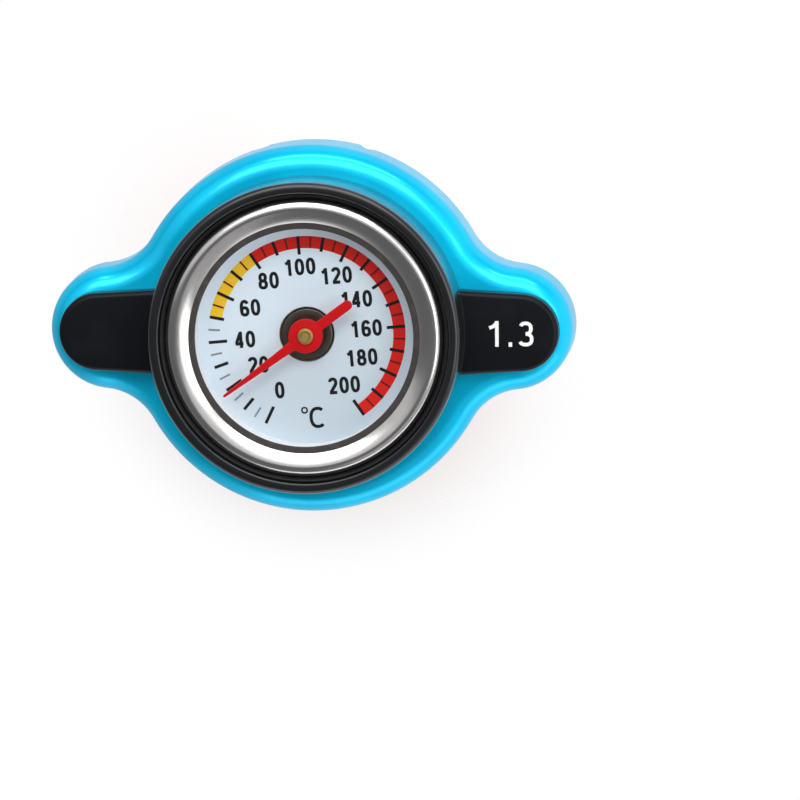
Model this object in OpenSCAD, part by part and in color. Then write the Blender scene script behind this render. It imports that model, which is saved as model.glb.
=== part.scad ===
// Radiator cap with a dial thermometer built into it: a pressed two-wing shell with bayonet tangs,
// a sprung pressure and vacuum valve below it, and a probe gauge in a plastic housing on top.
// Frame: +Z out of the dial, +X along the right-hand wing, +Y to twelve o'clock on the dial.
// The origin is the middle of the upper seal's sealing face. All sizes are in millimetres.

/* [Shell] */
// Radius of the round part of the pressed shell
shell_r = 24; // [23:0.1:28]
// Distance from the axis to a wing tip
wing_reach = 34.1; // [32:0.1:40]
// Radius of a wing tip
wing_r = 8; // [7:0.1:10]
// Radius of the hollow curve between the wing and the round part
blend_r = 8; // [6:0.1:10]
// Thickness of the pressed sheet
sheet = 1; // [0.8:0.05:1.3]
// Radius of the rounded edge around the top of the shell
edge_round = 3; // [2:0.1:3.4]
// Depth of the shell's rim below the sealing face
rim_drop = 6.2; // [4:0.1:8]

/* [Bayonet] */
// Width of a bayonet tang around the axis, in degrees
tang_angle = 31; // [20:1:45]
// How far a tang hangs below the rim
tang_drop = 2.5; // [2:0.1:4]
// Outer radius of a tang's bend
tang_bend = 1.6; // [1.4:0.1:2]
// How far a tang's lip reaches inwards from the outside of the shell
lip_reach = 2.8; // [2.2:0.1:3.6]
// Radius of the round notch beside a tang
notch_r = 1; // [0.6:0.1:1.6]
// Half the mouth of the vee notch beside a tang
vee_half = 1.1; // [0.6:0.1:1.8]
// Depth of the vee notch
vee_depth = 1.6; // [0.8:0.1:2.2]

/* [Seals] */
// Thickness of the upper seal
seal_t = 2; // [1.6:0.1:2.6]
// Gap between the upper seal's edge and the lip of a tang, seen along the axis
seal_gap = 0.4; // [0.2:0.1:1]
// How far the upper seal's face stands out below the steel disc let into it
seal_lip = 0.1; // [0.05:0.05:0.4]
// Radius of the steel disc let into the upper seal
disc_r = 15.6; // [14:0.1:17]
// Thickness of that disc
disc_t = 0.8; // [0.5:0.1:1.2]
// Thickness of the pressure seal's flange
pressure_seal_t = 3.3; // [2.5:0.1:4.5]
// Rounding of the pressure seal's lower edge
pressure_seal_round = 0.8; // [0.4:0.1:1.4]
// Radius of the pressure seal's collar
collar_r = 9.15; // [8.8:0.05:10.5]
// How far the pressure seal stands out past the valve cup
seal_proud = 0.25; // [0.1:0.05:0.6]

/* [Valve] */
// Depth of the pressure seal's seat below the upper seal's face
seat_depth = 14; // [12.5:0.1:18]
// Radius of the steel valve cup
cup_r = 14.75; // [13.5:0.05:16]
// Sheet thickness of the valve cup
cup_sheet = 0.8; // [0.6:0.05:1.1]
// Height of the valve cup's skirt
skirt_h = 4.2; // [3:0.1:5.5]
// Height of the valve cup's hub above its plate
hub_h = 4.4; // [3:0.1:5]
// Wall of that hub
hub_wall = 0.85; // [0.6:0.05:1.2]
// Radius of a vent hole in the valve cup
vent_r = 0.45; // [0.3:0.05:0.6]
// Number of vent holes
vents = 8; // [4:1:12]
// How far the pressure valve can lift
lift_travel = 2; // [1:0.1:2.6]
// How far the vacuum valve can drop
drop_travel = 1; // [0.5:0.1:1.2]
// Inside radius of the brass eyelet
eyelet_r = 6.4; // [6.2:0.05:7]
// Wall of the brass eyelet
eyelet_wall = 0.55; // [0.4:0.05:0.8]
// Radius of the eyelet's rolled rim
eyelet_rim_r = 8.3; // [7.9:0.05:8.7]
// Thickness of that rim
eyelet_rim_t = 0.5; // [0.3:0.05:0.9]

/* [Vacuum valve] */
// Wall of the vacuum valve's stem
stem_wall = 0.45; // [0.35:0.05:0.7]
// Thickness of the vacuum spring's cap
vac_cap_t = 0.5; // [0.4:0.05:0.8]
// Radius of the vacuum spring's cap
vac_cap_r = 4.4; // [4.1:0.05:4.9]
// Thickness of the perforated seat
vac_seat_t = 0.6; // [0.4:0.05:0.9]
// Radius of a hole in the perforated seat
vac_hole_r = 0.6; // [0.4:0.05:0.7]
// Number of holes in the seat
vac_holes = 6; // [4:1:8]
// Thickness of the small seal under the seat
vac_seal_t = 0.8; // [0.5:0.05:1.2]
// Width of the small seal and of the land that meets it
vac_land = 0.8; // [0.6:0.05:0.9]
// Height of the vacuum valve's disc inside the eyelet
vac_disc_h = 1.4; // [1:0.1:2]
// Depth of the dish inside the vacuum valve's land
dish_depth = 0.7; // [0.4:0.05:1]
// Height of the brass cone below the eyelet
cone_h = 2.8; // [2:0.1:4]
// Radius of the cone's small end
cone_end_r = 3.35; // [3.2:0.05:4]
// Sag of the cone's swollen side
cone_swell = 0.35; // [0.1:0.05:0.6]
// Height of the neck below the cone
neck_h = 1.2; // [0.8:0.1:2]
// Wall of the neck
neck_wall = 0.35; // [0.3:0.05:0.6]

/* [Springs] */
// Wire of the pressure spring
spring_wire = 1.8; // [1.4:0.1:2]
// Outside radius of the pressure spring
spring_r = 10.8; // [9.6:0.1:12.5]
// Turns of the pressure spring
spring_turns = 3.25; // [2.25:0.25:3.5]
// Share of a turn over which each end of a spring is eased flat
spring_ease = 0.3; // [0.1:0.05:0.5]
// Wire of the vacuum spring
vac_wire = 0.35; // [0.25:0.05:0.4]
// Turns of the vacuum spring
vac_turns = 2; // [1.5:0.25:2.5]

/* [Guide] */
// Wall of the valve guide around the screwed stem
spigot_wall = 0.75; // [0.6:0.05:1]
// Radius of the guide's clamping flange
guide_flange_r = 6.5; // [5.8:0.1:8]
// Thickness of that flange
guide_flange_t = 1.5; // [1:0.1:2]
// Depth of the screwed length below the sealing face
screw_depth = 4; // [3:0.1:6]
// Thickness of the retaining ring
ring_t = 0.6; // [0.4:0.05:0.9]
// Depth of the retaining ring's groove
groove_depth = 0.4; // [0.3:0.05:0.6]
// Width of the retaining ring
ring_w = 1.6; // [1.2:0.05:1.65]
// Length of guide left below the retaining ring
guide_land = 0.3; // [0.2:0.05:0.8]

/* [Probe] */
// Radius of the copper probe
probe_r = 2.4; // [2:0.05:2.8]
// Wall of the copper probe
probe_wall = 0.4; // [0.3:0.05:0.6]
// Length of bare probe below the brass neck
probe_show = 7.45; // [5:0.05:20]
// Rounding of the probe's tip
tip_round = 1.5; // [0.8:0.1:1.9]
// Thickness of the probe's closed end
tip_wall = 1; // [0.6:0.1:1.6]
// Height of the anchor in the probe's tip
anchor_h = 1; // [0.6:0.1:2]
// Length of the bimetal coil
coil_len = 18; // [10:0.5:20]
// Thickness of the bimetal coil's strip
coil_wire = 0.5; // [0.3:0.05:0.6]
// Height of the hub between the coil and the spindle
spindle_hub_h = 1; // [0.6:0.1:2]
// Turns of the bimetal coil
coil_turns = 12; // [6:1:14]

/* [Gauge] */
// Radius of the bezel
bezel_r = 18.1; // [16:0.1:19]
// Width of the bezel's face, from its outside to the edge of the window
bezel_face = 3.9; // [2.9:0.1:5]
// Thickness of the bezel above the lens
bezel_lip = 1; // [0.8:0.05:1.6]
// Radius of the bezel's rolled bead
bead_r = 0.8; // [0.5:0.05:0.8]
// Thickness of the bezel at the edge of its window
window_edge = 0.3; // [0.2:0.05:0.6]
// Sheet thickness of the bezel's skirt
bezel_skirt = 0.65; // [0.4:0.05:0.9]
// Height of the bezel's skirt below the lens
skirt_drop = 5; // [3:0.1:5.5]
// Thickness of the lens
lens_t = 1; // [0.8:0.05:1.6]
// Distance between the dial and the lens
dial_depth = 3; // [2.7:0.1:4.5]
// Thickness of the dial
dial_t = 0.4; // [0.3:0.05:0.8]
// Radius of the hole in the middle of the dial
dial_hole_r = 3.57; // [3.3:0.01:4.2]
// Height of the ring that carries the dial
support_h = 2.2; // [2:0.1:4]
// Width of the ring that carries the dial
support_w = 1.5; // [1:0.1:2.5]
// Sheet thickness of the gauge case
case_sheet = 0.6; // [0.4:0.05:0.8]

/* [Pointer] */
// Distance from the dial up to the pointer
pointer_gap = 1.8; // [1:0.1:1.9]
// Thickness of the pointer
pointer_t = 0.4; // [0.25:0.05:0.45]
// Gap between the needle's tip and the edge of the window, seen along the axis
needle_gap = 0.8; // [0.4:0.1:4]
// Half the width of the needle at the axis
needle_root = 0.74; // [0.4:0.02:1.2]
// Length of the tail from the axis
tail_len = 7.4; // [4:0.1:10]
// Width of the tail
tail_w = 1.3; // [0.8:0.1:1.8]
// Radius of the pointer's hub
hub_r = 2.24; // [1.6:0.01:3]
// Radius of the needle's end
needle_end_r = 0.16; // [0.1:0.02:0.3]
// Radius of the brass pin through the hub
pin_r = 1.05; // [0.8:0.05:1.4]
// Height of the pin's head above the pointer
pin_head = 0.4; // [0.2:0.05:0.45]
// How far the pin reaches below the pointer
pin_drop = 0.9; // [0.4:0.05:1]
// Radius of the spindle
spindle_r = 0.5; // [0.35:0.05:0.6]
// Angle of the resting pointer, counted from +X against the clock
rest_angle = 216.5; // [180:0.5:245]

/* [Housing] */
// Thickness of the rubber sleeve around the gauge
sleeve_t = 0.9; // [0.8:0.05:1.8]
// Wall of the plastic housing
housing_wall = 1.2; // [1:0.05:1.8]
// Floor of the plastic housing
housing_floor = 1.2; // [0.8:0.05:2]
// Rounding of the housing's top edge
housing_round = 1; // [0.5:0.05:1]
// How far the housing stands above the bezel
housing_proud = 0.2; // [0:0.05:0.6]
// How far the sleeve stays below the housing's top edge
sleeve_low = 0.5; // [0.2:0.05:1]
// Thickness of a wing pad
pad_t = 2.7; // [2:0.1:3.5]
// Rounding of a wing pad's top edge
pad_round = 0.7; // [0.3:0.05:1]
// Distance from a pad's tip to the wing's tip
pad_tip_inset = 1.2; // [0.8:0.1:2.5]
// Distance from a pad's side to the wing's side
pad_side_inset = 2.7; // [2:0.1:3.5]
// Radius of a staked peg
peg_r = 1.5; // [1:0.1:2]
// Radius of a peg's staked head
peg_head_r = 2.4; // [2.1:0.1:3]
// Height of a peg's staked head
peg_head_h = 0.9; // [0.6:0.1:1.4]

/* [Stem] */
// Wall of the brass stem around the probe
stem_tube_wall = 0.75; // [0.6:0.05:1]
// Radius of the stem's head
stem_head_r = 5; // [4.4:0.1:6]
// Height of the stem's head
stem_head_h = 0.8; // [0.6:0.05:1.2]
// How far the dark bush stays below the dial's face
bush_recess = 0.15; // [0.05:0.05:0.4]
// Gap around the dark bush in the dial's hole
bush_gap = 0.17; // [0.1:0.01:0.4]
// Height of the small bush inside the probe
small_bush_h = 1; // [0.6:0.1:2]

/* [Clearances] */
// Gap between pieces that are fitted together and stay together
fit = 0.05; // [0.03:0.01:0.08]
// Radial gap of a turning or sliding pair
running = 0.05; // [0.03:0.01:0.08]
// Radial gap between the probe and what slides along it
probe_gap = 0.1; // [0.06:0.01:0.2]
// Radial gap between pieces that move past each other and never touch
loose = 0.2; // [0.15:0.01:0.3]
// Axial gap left when a valve is at the end of its travel
end_room = 0.3; // [0.2:0.05:0.6]

/* [Hidden] */
$fn = 96;
// How far a cutting tool runs past the face that it cuts
past = 1;

// Levels of the shell, from the sealing face upwards
plate_under = seal_t;
plate_top = plate_under + sheet;
rim_z = -rim_drop;
tang_z = rim_z - tang_drop;
lip_r = shell_r - lip_reach;
seal_r = lip_r - seal_gap;
disc_top = seal_lip + disc_t;

// The shell's outline is made of arcs that touch: round part, hollow blend and wing tip
wing_x = wing_reach - wing_r;
blend_x = ((shell_r + blend_r)^2 - (wing_r + blend_r)^2 + wing_x^2) / (2 * wing_x);
blend_y = sqrt((shell_r + blend_r)^2 - blend_x^2);
main_angle = atan2(blend_y, blend_x);
wing_angle = atan2(blend_y, blend_x - wing_x);
tang_start = 90 - tang_angle / 2;
// How much thinner than the wall a tang is on each side, so that it stays within the wall
tang_thin = 0.02;

// Levels of the gauge, from the shell upwards
case_z = plate_top + housing_floor;
case_floor_z = case_z + case_sheet;
dial_z = case_floor_z + support_h;
dial_top = dial_z + dial_t;
lens_z = dial_top + dial_depth;
lens_top = lens_z + lens_t;
bezel_top = lens_top + bezel_lip;
housing_top = bezel_top + housing_proud;
stem_head_z = case_floor_z + stem_head_h;
pointer_z = dial_top + pointer_gap;
pointer_top = pointer_z + pointer_t;
pin_top = pointer_top + pin_head;

// Radii of the gauge, from the bezel inwards and outwards
window_r = bezel_r - bezel_face;
needle_len = window_r - needle_gap;
case_r = bezel_r - bezel_skirt - fit;
case_bore = case_r - case_sheet;
sleeve_bore = bezel_r + fit;
sleeve_r = sleeve_bore + sleeve_t;
housing_bore = sleeve_r + fit;
housing_r = housing_bore + housing_wall;
dial_r = case_bore - fit;
bush_r = dial_hole_r - bush_gap;

// Wing pads and their pegs
pad_tip = wing_reach - pad_tip_inset;
pad_half = wing_r - pad_side_inset;
pad_x = pad_tip - pad_half;
pad_top = plate_top + pad_t;

// Radii around the probe, from the middle outwards
probe_bore = probe_r - probe_wall;
stem_bore = probe_r + fit;
stem_r = stem_bore + stem_tube_wall;
spigot_bore = stem_r + fit;
guide_r = spigot_bore + spigot_wall;
guide_bore = probe_r + probe_gap + fit;
guide_hole = guide_r + fit;

// Levels of the pressure valve, from its seat upwards
cup_under = -seat_depth + pressure_seal_t;
cup_floor = cup_under + cup_sheet;
cup_bore = guide_r + running;
hub_outer = cup_bore + hub_wall;
hub_top = cup_floor + hub_h;
pressure_seal_r = cup_r + seal_proud;
ring_z = cup_under - ring_t;
ring_r = guide_r - groove_depth + ring_w;
guide_end = ring_z - guide_land;

// Levels of the vacuum valve, from the guide's end downwards
vac_top = guide_end - lift_travel - end_room;
vac_cap_z = vac_top - vac_cap_t;
vac_spring_len = (vac_turns + 1) * vac_wire + drop_travel + end_room;
vac_seat_top = vac_cap_z - vac_spring_len;
vac_seat_z = vac_seat_top - vac_seat_t;
vac_seal_z = vac_seat_z - vac_seal_t;
eyelet_z = vac_seal_z - vac_disc_h;
eyelet_rim_z = eyelet_z + eyelet_rim_t;
cone_z = eyelet_z - cone_h;
neck_z = cone_z - neck_h;

// Radii of the vacuum valve
vac_bore = probe_r + probe_gap;
vac_stem_r = vac_bore + stem_wall;
vac_disc_r = eyelet_r - loose;
vac_seal_r = eyelet_r - fit;
vac_land_r = vac_seal_r - vac_land;
vac_seat_bore = vac_stem_r + loose;
vac_spring_mean = vac_seat_bore + vac_wire / 2 + fit;
vac_hole_ring = (vac_spring_mean + vac_wire / 2 + vac_land_r) / 2;
neck_r = vac_bore + neck_wall;
eyelet_outer = eyelet_r + eyelet_wall;
vent_ring = (ring_r + eyelet_r) / 2;

// Levels inside the probe
tip_z = neck_z - probe_show;
probe_top = case_floor_z;
anchor_z = tip_z + tip_wall;
coil_z = anchor_z + anchor_h;
coil_top = coil_z + coil_len;
coil_mean = probe_bore - coil_wire / 2 - loose;
spindle_hub_r = coil_mean + coil_wire / 2;
small_bush_z = -screw_depth + fit;

// Pressure spring between the steel disc and the valve cup
spring_mean = spring_r - spring_wire / 2;
spring_top = seal_lip - spring_wire / 2 - fit;
spring_bottom = cup_floor + spring_wire / 2 + fit;

// Steps along the arcs of the shell's outline and over its rounded edge
main_steps = 24;
wing_steps = 10;
blend_steps = 8;
edge_steps = 5;

// Steps down the side of the brass cone
cone_steps = 8;

// Rings in each turn of a shown spring and of a hidden one, and sides of their wire
shown_rings = 24;
hidden_rings = 8;
wire_sides = 6;

// Share of the climb at a share t of the length, level at both ends over e of the length
function eased(t, e) =
    t < e ? t * t / (2 * e * (1 - e))
    : t > 1 - e ? 1 - (1 - t) * (1 - t) / (2 * e * (1 - e))
    : (t - e / 2) / (1 - e);

// Middle line of a spring from level z0 to level z1
function spring_line(r, z0, z1, turns, rings) =
    let (n = ceil(turns * rings))
    [for (i = [0:n]) let (a = 360 * turns * i / n)
        [r * cos(a), r * sin(a), z0 + (z1 - z0) * eased(i / n, spring_ease / turns)]];

// Ring of wire points around point i of a middle line, in the plane square to the line
function wire_ring(line, i, wire) =
    let (last = len(line) - 1, p = line[i], step = line[min(i + 1, last)] - line[max(i - 1, 0)])
    let (out = [p[0], p[1], 0] / norm([p[0], p[1]]), across = cross(step, out) / norm(cross(step, out)))
    let (side = cross(across, step) / norm(cross(across, step)))
    [for (j = [0:wire_sides - 1]) let (a = 360 * j / wire_sides)
        p + wire / 2 * (cos(a) * side + sin(a) * across)];

// Least gap between the turns of a spring, measured from point to point of its middle line
function spring_gap(line, rings, wire) =
    min([for (i = [0:len(line) - 1]) for (j = [i + rings / 2:len(line) - 1]) norm(line[i] - line[j])]) - wire;

module spring_tube(line, wire) {
    count = len(line);
    points = [for (i = [0:count - 1]) each wire_ring(line, i, wire)];
    start = [for (j = [1:wire_sides - 2]) [0, j, j + 1]];
    base = (count - 1) * wire_sides;
    end = [for (j = [1:wire_sides - 2]) [base, base + j + 1, base + j]];
    sides = [for (i = [0:count - 2]) for (j = [0:wire_sides - 1])
        let (k = (j + 1) % wire_sides, a = i * wire_sides, b = a + wire_sides)
        each [[a + j, b + j, b + k], [a + j, b + k, a + k]]];
    polyhedron(points, concat(start, end, sides), convexity = 10);
}

// Part of a turn of a profile about the Z axis
module sector(start, sweep) {
    rotate([0, 0, start]) rotate_extrude(angle = sweep) children();
}

// Flat ring between two radii and two levels
module ring(inner, outer, low, high) {
    translate([0, 0, low]) difference() {
        cylinder(r = outer, h = high - low);
        translate([0, 0, -past]) cylinder(r = inner, h = high - low + 2 * past);
    }
}

// Half section of a block that is round at its top outer corner
module rounded_section(reach, low, high, round) {
    difference() {
        translate([0, low]) square([reach, high - low]);
        translate([reach - round, high - round]) difference() {
            square(round + past);
            circle(r = round);
        }
    }
}

// Half section of a tang, a hair thinner than the wall that it hangs from: wall, bend and lip
module tang_section() {
    outer = shell_r - tang_thin;
    bend = tang_bend - tang_thin;
    thick = sheet - 2 * tang_thin;
    bend_x = outer - bend;
    bend_z = tang_z + bend;
    translate([outer - thick, bend_z]) square([thick, rim_z + sheet - bend_z]);
    translate([lip_r, tang_z]) square([bend_x - lip_r, thick]);
    translate([bend_x, bend_z]) intersection() {
        difference() {
            circle(r = bend);
            circle(r = bend - thick);
        }
        translate([0, -bend]) square([bend, bend]);
    }
}

// Points along an arc, without its last point
function arc(x, y, r, start, stop, steps) =
    [for (i = [0:steps - 1]) let (a = start + (stop - start) * i / steps) [x + r * cos(a), y + r * sin(a)]];

// Half of the shell's outline drawn in by inset, from the right wing's tip over the top to the left one
function half_outline(inset) = concat(
    arc(wing_x, 0, wing_r - inset, 0, wing_angle, wing_steps),
    arc(blend_x, blend_y, blend_r + inset, 180 + wing_angle, 180 + main_angle, blend_steps),
    arc(0, 0, shell_r - inset, main_angle, 180 - main_angle, main_steps),
    arc(-blend_x, blend_y, blend_r + inset, -main_angle, -wing_angle, blend_steps),
    arc(-wing_x, 0, wing_r - inset, 180 - wing_angle, 180, wing_steps));

// A list from its last item to its first
function reversed(list) = [for (i = [len(list) - 1:-1:0]) list[i]];

// Closed ring of points at one level: the outline drawn in by inset
function outline_ring(inset, z) =
    let (half = half_outline(inset)) [for (s = [1, -1]) for (p = half) [s * p[0], s * p[1], z]];

// Closed ring of points on a circle, one beside each point of the outline
function hole_ring(r, z) =
    [for (p = outline_ring(0, z)) let (a = atan2(p[1], p[0])) [r * cos(a), r * sin(a), z]];

// Rings over a rounded edge that starts at the inset start and the level top
function edge_rings(start, top, round) =
    [for (i = [0:edge_steps]) let (a = 90 * i / edge_steps)
        outline_ring(start - round * sin(a), top - round * (1 - cos(a)))];

// The pressed sheet as one skin: over the top, down the wall, round the rim and back along the inside
module pressed_sheet() {
    rings = concat([hole_ring(guide_hole, plate_top)], edge_rings(edge_round, plate_top, edge_round),
        [outline_ring(0, rim_z), outline_ring(sheet, rim_z)],
        reversed(edge_rings(edge_round, plate_under, edge_round - sheet)),
        [hole_ring(guide_hole, plate_under)]);
    count = len(rings[0]);
    loops = len(rings);
    faces = [for (i = [0:loops - 1]) for (j = [0:count - 1])
        let (k = (j + 1) % count, a = i * count, b = ((i + 1) % loops) * count)
        each [[a + j, b + k, b + j], [a + j, a + k, b + k]]];
    polyhedron([for (r = rings) each r], faces, convexity = 10);
}

module cap_shell() {
    half = tang_angle / 2;
    round_at = half + notch_r / 2 / shell_r * 180 / PI;
    vee_at = half + vee_half / 2 / shell_r * 180 / PI;
    color("deepskyblue") difference() {
        union() {
            pressed_sheet();
            for (s = [0, 180]) sector(tang_start + s, tang_angle) tang_section();
        }
        translate([0, 0, plate_under - past]) cylinder(r = guide_hole, h = sheet + 2 * past);
        for (s = [-1, 1]) translate([s * pad_x, 0, plate_under - past])
            cylinder(r = peg_r + fit, h = sheet + 2 * past);
        for (a = [90, 270]) {
            rotate([0, 0, a + round_at]) translate([shell_r - sheet - past, 0, rim_z]) rotate([0, 90, 0])
                cylinder(r = notch_r, h = sheet + 2 * past);
            rotate([0, 0, a - vee_at]) translate([shell_r - sheet - past, 0, rim_z]) rotate([90, 0, 90])
                linear_extrude(height = sheet + 2 * past)
                polygon([[-vee_half, 0], [-vee_half, -past], [vee_half, -past], [vee_half, 0],
                    [0, vee_depth]]);
        }
    }
}

// One wing pad on the +X side, with its staked peg
module wing_pad() {
    root = housing_bore;
    translate([root, 0, 0]) rotate([90, 0, 90]) linear_extrude(height = pad_x - root) {
        rounded_section(pad_half, plate_top, pad_top, pad_round);
        mirror([1, 0]) rounded_section(pad_half, plate_top, pad_top, pad_round);
    }
    translate([pad_x, 0, 0]) {
        sector(-90, 180) rounded_section(pad_half, plate_top, pad_top, pad_round);
        translate([0, 0, plate_under]) cylinder(r = peg_r, h = sheet);
        translate([0, 0, plate_under - peg_head_h]) cylinder(r = peg_head_r, h = peg_head_h);
    }
}

module gauge_housing() {
    color("#1c1f23") difference() {
        union() {
            rotate_extrude() rounded_section(housing_r, plate_top, housing_top, housing_round);
            for (m = [0, 1]) mirror([m, 0, 0]) wing_pad();
        }
        translate([0, 0, case_z]) cylinder(r = housing_bore, h = housing_top - case_z + past);
        translate([0, 0, plate_top - past]) cylinder(r = stem_r + fit, h = housing_floor + 2 * past);
    }
}

module gauge_sleeve() {
    color("#121315") ring(sleeve_bore, sleeve_r, case_z, housing_top - sleeve_low);
}

module gauge_case() {
    color("silver") difference() {
        translate([0, 0, case_z]) cylinder(r = case_r, h = lens_z - case_z);
        translate([0, 0, case_floor_z]) cylinder(r = case_bore, h = lens_z - case_floor_z + past);
        translate([0, 0, case_z - past]) cylinder(r = stem_r + fit, h = case_sheet + 2 * past);
    }
}

module bezel() {
    bead_z = bezel_top - bead_r;
    bead_in = bezel_r - 2 * bead_r;
    color("#9a9ca0") rotate_extrude() {
        translate([bezel_r - bezel_skirt, lens_z - skirt_drop]) square([bezel_skirt, lens_t + skirt_drop]);
        polygon([[window_r, lens_top], [bezel_r, lens_top], [bezel_r, bead_z], [bead_in, bead_z],
            [window_r, lens_top + window_edge]]);
        translate([bezel_r - bead_r, bead_z]) intersection() {
            circle(r = bead_r);
            translate([-bead_r, 0]) square([2 * bead_r, bead_r]);
        }
    }
}

module lens() {
    color("lightcyan", 0.3) translate([0, 0, lens_z]) cylinder(r = case_r, h = lens_t);
}

module lens_spacer() {
    color("#2a2c30") ring(window_r + fit, dial_r, dial_top, lens_z);
}

module dial_plate() {
    color("aliceblue") ring(dial_hole_r, dial_r, dial_z, dial_top);
}

module dial_support() {
    color("silver") ring(dial_r - support_w, dial_r, case_floor_z, dial_z);
}

module spindle_bush() {
    color("#30343a") ring(spindle_r + running, bush_r, stem_head_z, dial_top - bush_recess);
}

module stem_fitting() {
    color("goldenrod") difference() {
        union() {
            translate([0, 0, -screw_depth]) cylinder(r = stem_r, h = case_floor_z + screw_depth);
            translate([0, 0, case_floor_z]) cylinder(r = stem_head_r, h = stem_head_h);
        }
        translate([0, 0, -screw_depth - past]) cylinder(r = stem_bore, h = probe_top + screw_depth + past);
        translate([0, 0, probe_top - past]) cylinder(r = spindle_r + loose, h = stem_head_h + 2 * past);
    }
}

module probe_tube() {
    color("#d9906f") difference() {
        rotate_extrude() mirror([0, 1]) rounded_section(probe_r, -probe_top, -tip_z, tip_round);
        translate([0, 0, anchor_z]) cylinder(r = probe_bore, h = probe_top - anchor_z + past);
    }
}

module stem_bush() {
    color("goldenrod") ring(spindle_r + running, probe_bore - fit, small_bush_z, small_bush_z + small_bush_h);
}

module coil_anchor() {
    color("goldenrod") translate([0, 0, anchor_z]) cylinder(r = probe_bore - fit, h = anchor_h);
}

module bimetal_coil() {
    line = spring_line(coil_mean, coil_z + coil_wire / 2 + fit, coil_top - coil_wire / 2 - fit, coil_turns,
        hidden_rings);
    echo(bimetal_coil_least_gap = spring_gap(line, hidden_rings, coil_wire));
    color("peru") spring_tube(line, coil_wire);
}

module upper_seal() {
    color("#e84848") {
        ring(disc_r + fit, seal_r, 0, disc_top);
        ring(guide_hole, seal_r, disc_top, plate_under);
    }
}

module seal_disc() {
    color("#b8babd") ring(guide_hole, disc_r, seal_lip, disc_top);
}

module valve_guide() {
    color("#a5a8ac") difference() {
        union() {
            translate([0, 0, guide_end]) cylinder(r = guide_r, h = plate_top - guide_end);
            translate([0, 0, seal_lip - guide_flange_t]) cylinder(r = guide_flange_r, h = guide_flange_t);
        }
        translate([0, 0, guide_end - past]) cylinder(r = guide_bore, h = plate_top - guide_end + 2 * past);
        translate([0, 0, -screw_depth - fit]) cylinder(r = spigot_bore, h = plate_top + screw_depth + past);
        ring(guide_r - groove_depth, guide_r + past, ring_z, cup_under);
    }
}

module retaining_ring() {
    color("#8d9095") ring(guide_r - groove_depth, ring_r, ring_z, cup_under);
}

// Blank of the pointer along +X: hub, tapered needle and tail, both with round ends
module pointer_blank() {
    needle_x = needle_len - needle_end_r;
    tail_x = tail_len - tail_w / 2;
    cylinder(r = hub_r, h = pointer_t);
    linear_extrude(height = pointer_t) polygon([[0, needle_root], [needle_x, needle_end_r],
        [needle_x, -needle_end_r], [0, -needle_root]]);
    translate([needle_x, 0, 0]) sector(-90, 180) square([needle_end_r, pointer_t]);
    translate([-tail_x, -tail_w / 2, 0]) cube([tail_x, tail_w, pointer_t]);
    translate([-tail_x, 0, 0]) sector(90, 180) square([tail_w / 2, pointer_t]);
}

module pointer() {
    color("crimson") translate([0, 0, pointer_z]) rotate([0, 0, rest_angle]) difference() {
        pointer_blank();
        translate([0, 0, -past]) cylinder(r = pin_r, h = pointer_t + 2 * past);
    }
}

module pointer_pin() {
    color("gold") ring(spindle_r, pin_r, pointer_z - pin_drop, pin_top);
}

module spindle() {
    color("#7f6a45") {
        translate([0, 0, coil_top]) cylinder(r = spindle_r, h = pin_top - coil_top);
        translate([0, 0, coil_top]) cylinder(r = spindle_hub_r, h = spindle_hub_h);
    }
}

module pressure_spring() {
    line = spring_line(spring_mean, spring_bottom, spring_top, spring_turns, shown_rings);
    echo(pressure_spring_least_gap = spring_gap(line, shown_rings, spring_wire));
    color("#1b1a19") spring_tube(line, spring_wire);
}

module valve_cup() {
    color("#b4b6b9") difference() {
        union() {
            translate([0, 0, cup_under]) cylinder(r = cup_r, h = cup_sheet);
            ring(cup_r - cup_sheet, cup_r, cup_under, cup_under + skirt_h);
            translate([0, 0, cup_floor]) cylinder(r = hub_outer, h = hub_h);
        }
        translate([0, 0, cup_under - past]) cylinder(r = cup_bore, h = hub_top - cup_under + 2 * past);
        for (i = [0:vents - 1]) rotate([0, 0, 360 * i / vents]) translate([vent_ring, 0, cup_under - past])
            cylinder(r = vent_r, h = cup_sheet + 2 * past);
    }
}

module pressure_seal() {
    color("#e84848") difference() {
        union() {
            rotate_extrude() mirror([0, 1])
                rounded_section(pressure_seal_r, -cup_under, seat_depth, pressure_seal_round);
            translate([0, 0, eyelet_rim_z]) cylinder(r = collar_r, h = cup_under - eyelet_rim_z);
        }
        translate([0, 0, eyelet_rim_z - past])
            cylinder(r = eyelet_outer + fit, h = cup_under - eyelet_rim_z + 2 * past);
    }
}

module seal_eyelet() {
    color("gold") {
        ring(eyelet_r, eyelet_outer, eyelet_z, cup_under);
        ring(eyelet_r, eyelet_rim_r, eyelet_z, eyelet_rim_z);
    }
}

module vacuum_seat() {
    color("gold") difference() {
        ring(vac_seat_bore, eyelet_r - fit, vac_seat_z, vac_seat_top);
        for (i = [0:vac_holes - 1]) rotate([0, 0, 360 * i / vac_holes])
            translate([vac_hole_ring, 0, vac_seat_z - past])
            cylinder(r = vac_hole_r, h = vac_seat_t + 2 * past);
    }
}

module vacuum_seal() {
    color("#2b2b2d") ring(vac_land_r, vac_seal_r, vac_seal_z, vac_seat_z);
}

module vacuum_spring() {
    line = spring_line(vac_spring_mean, vac_seat_top + vac_wire / 2 + fit, vac_cap_z - vac_wire / 2 - fit,
        vac_turns, hidden_rings);
    echo(vacuum_spring_least_gap = spring_gap(line, hidden_rings, vac_wire));
    color("silver") spring_tube(line, vac_wire);
}

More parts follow.
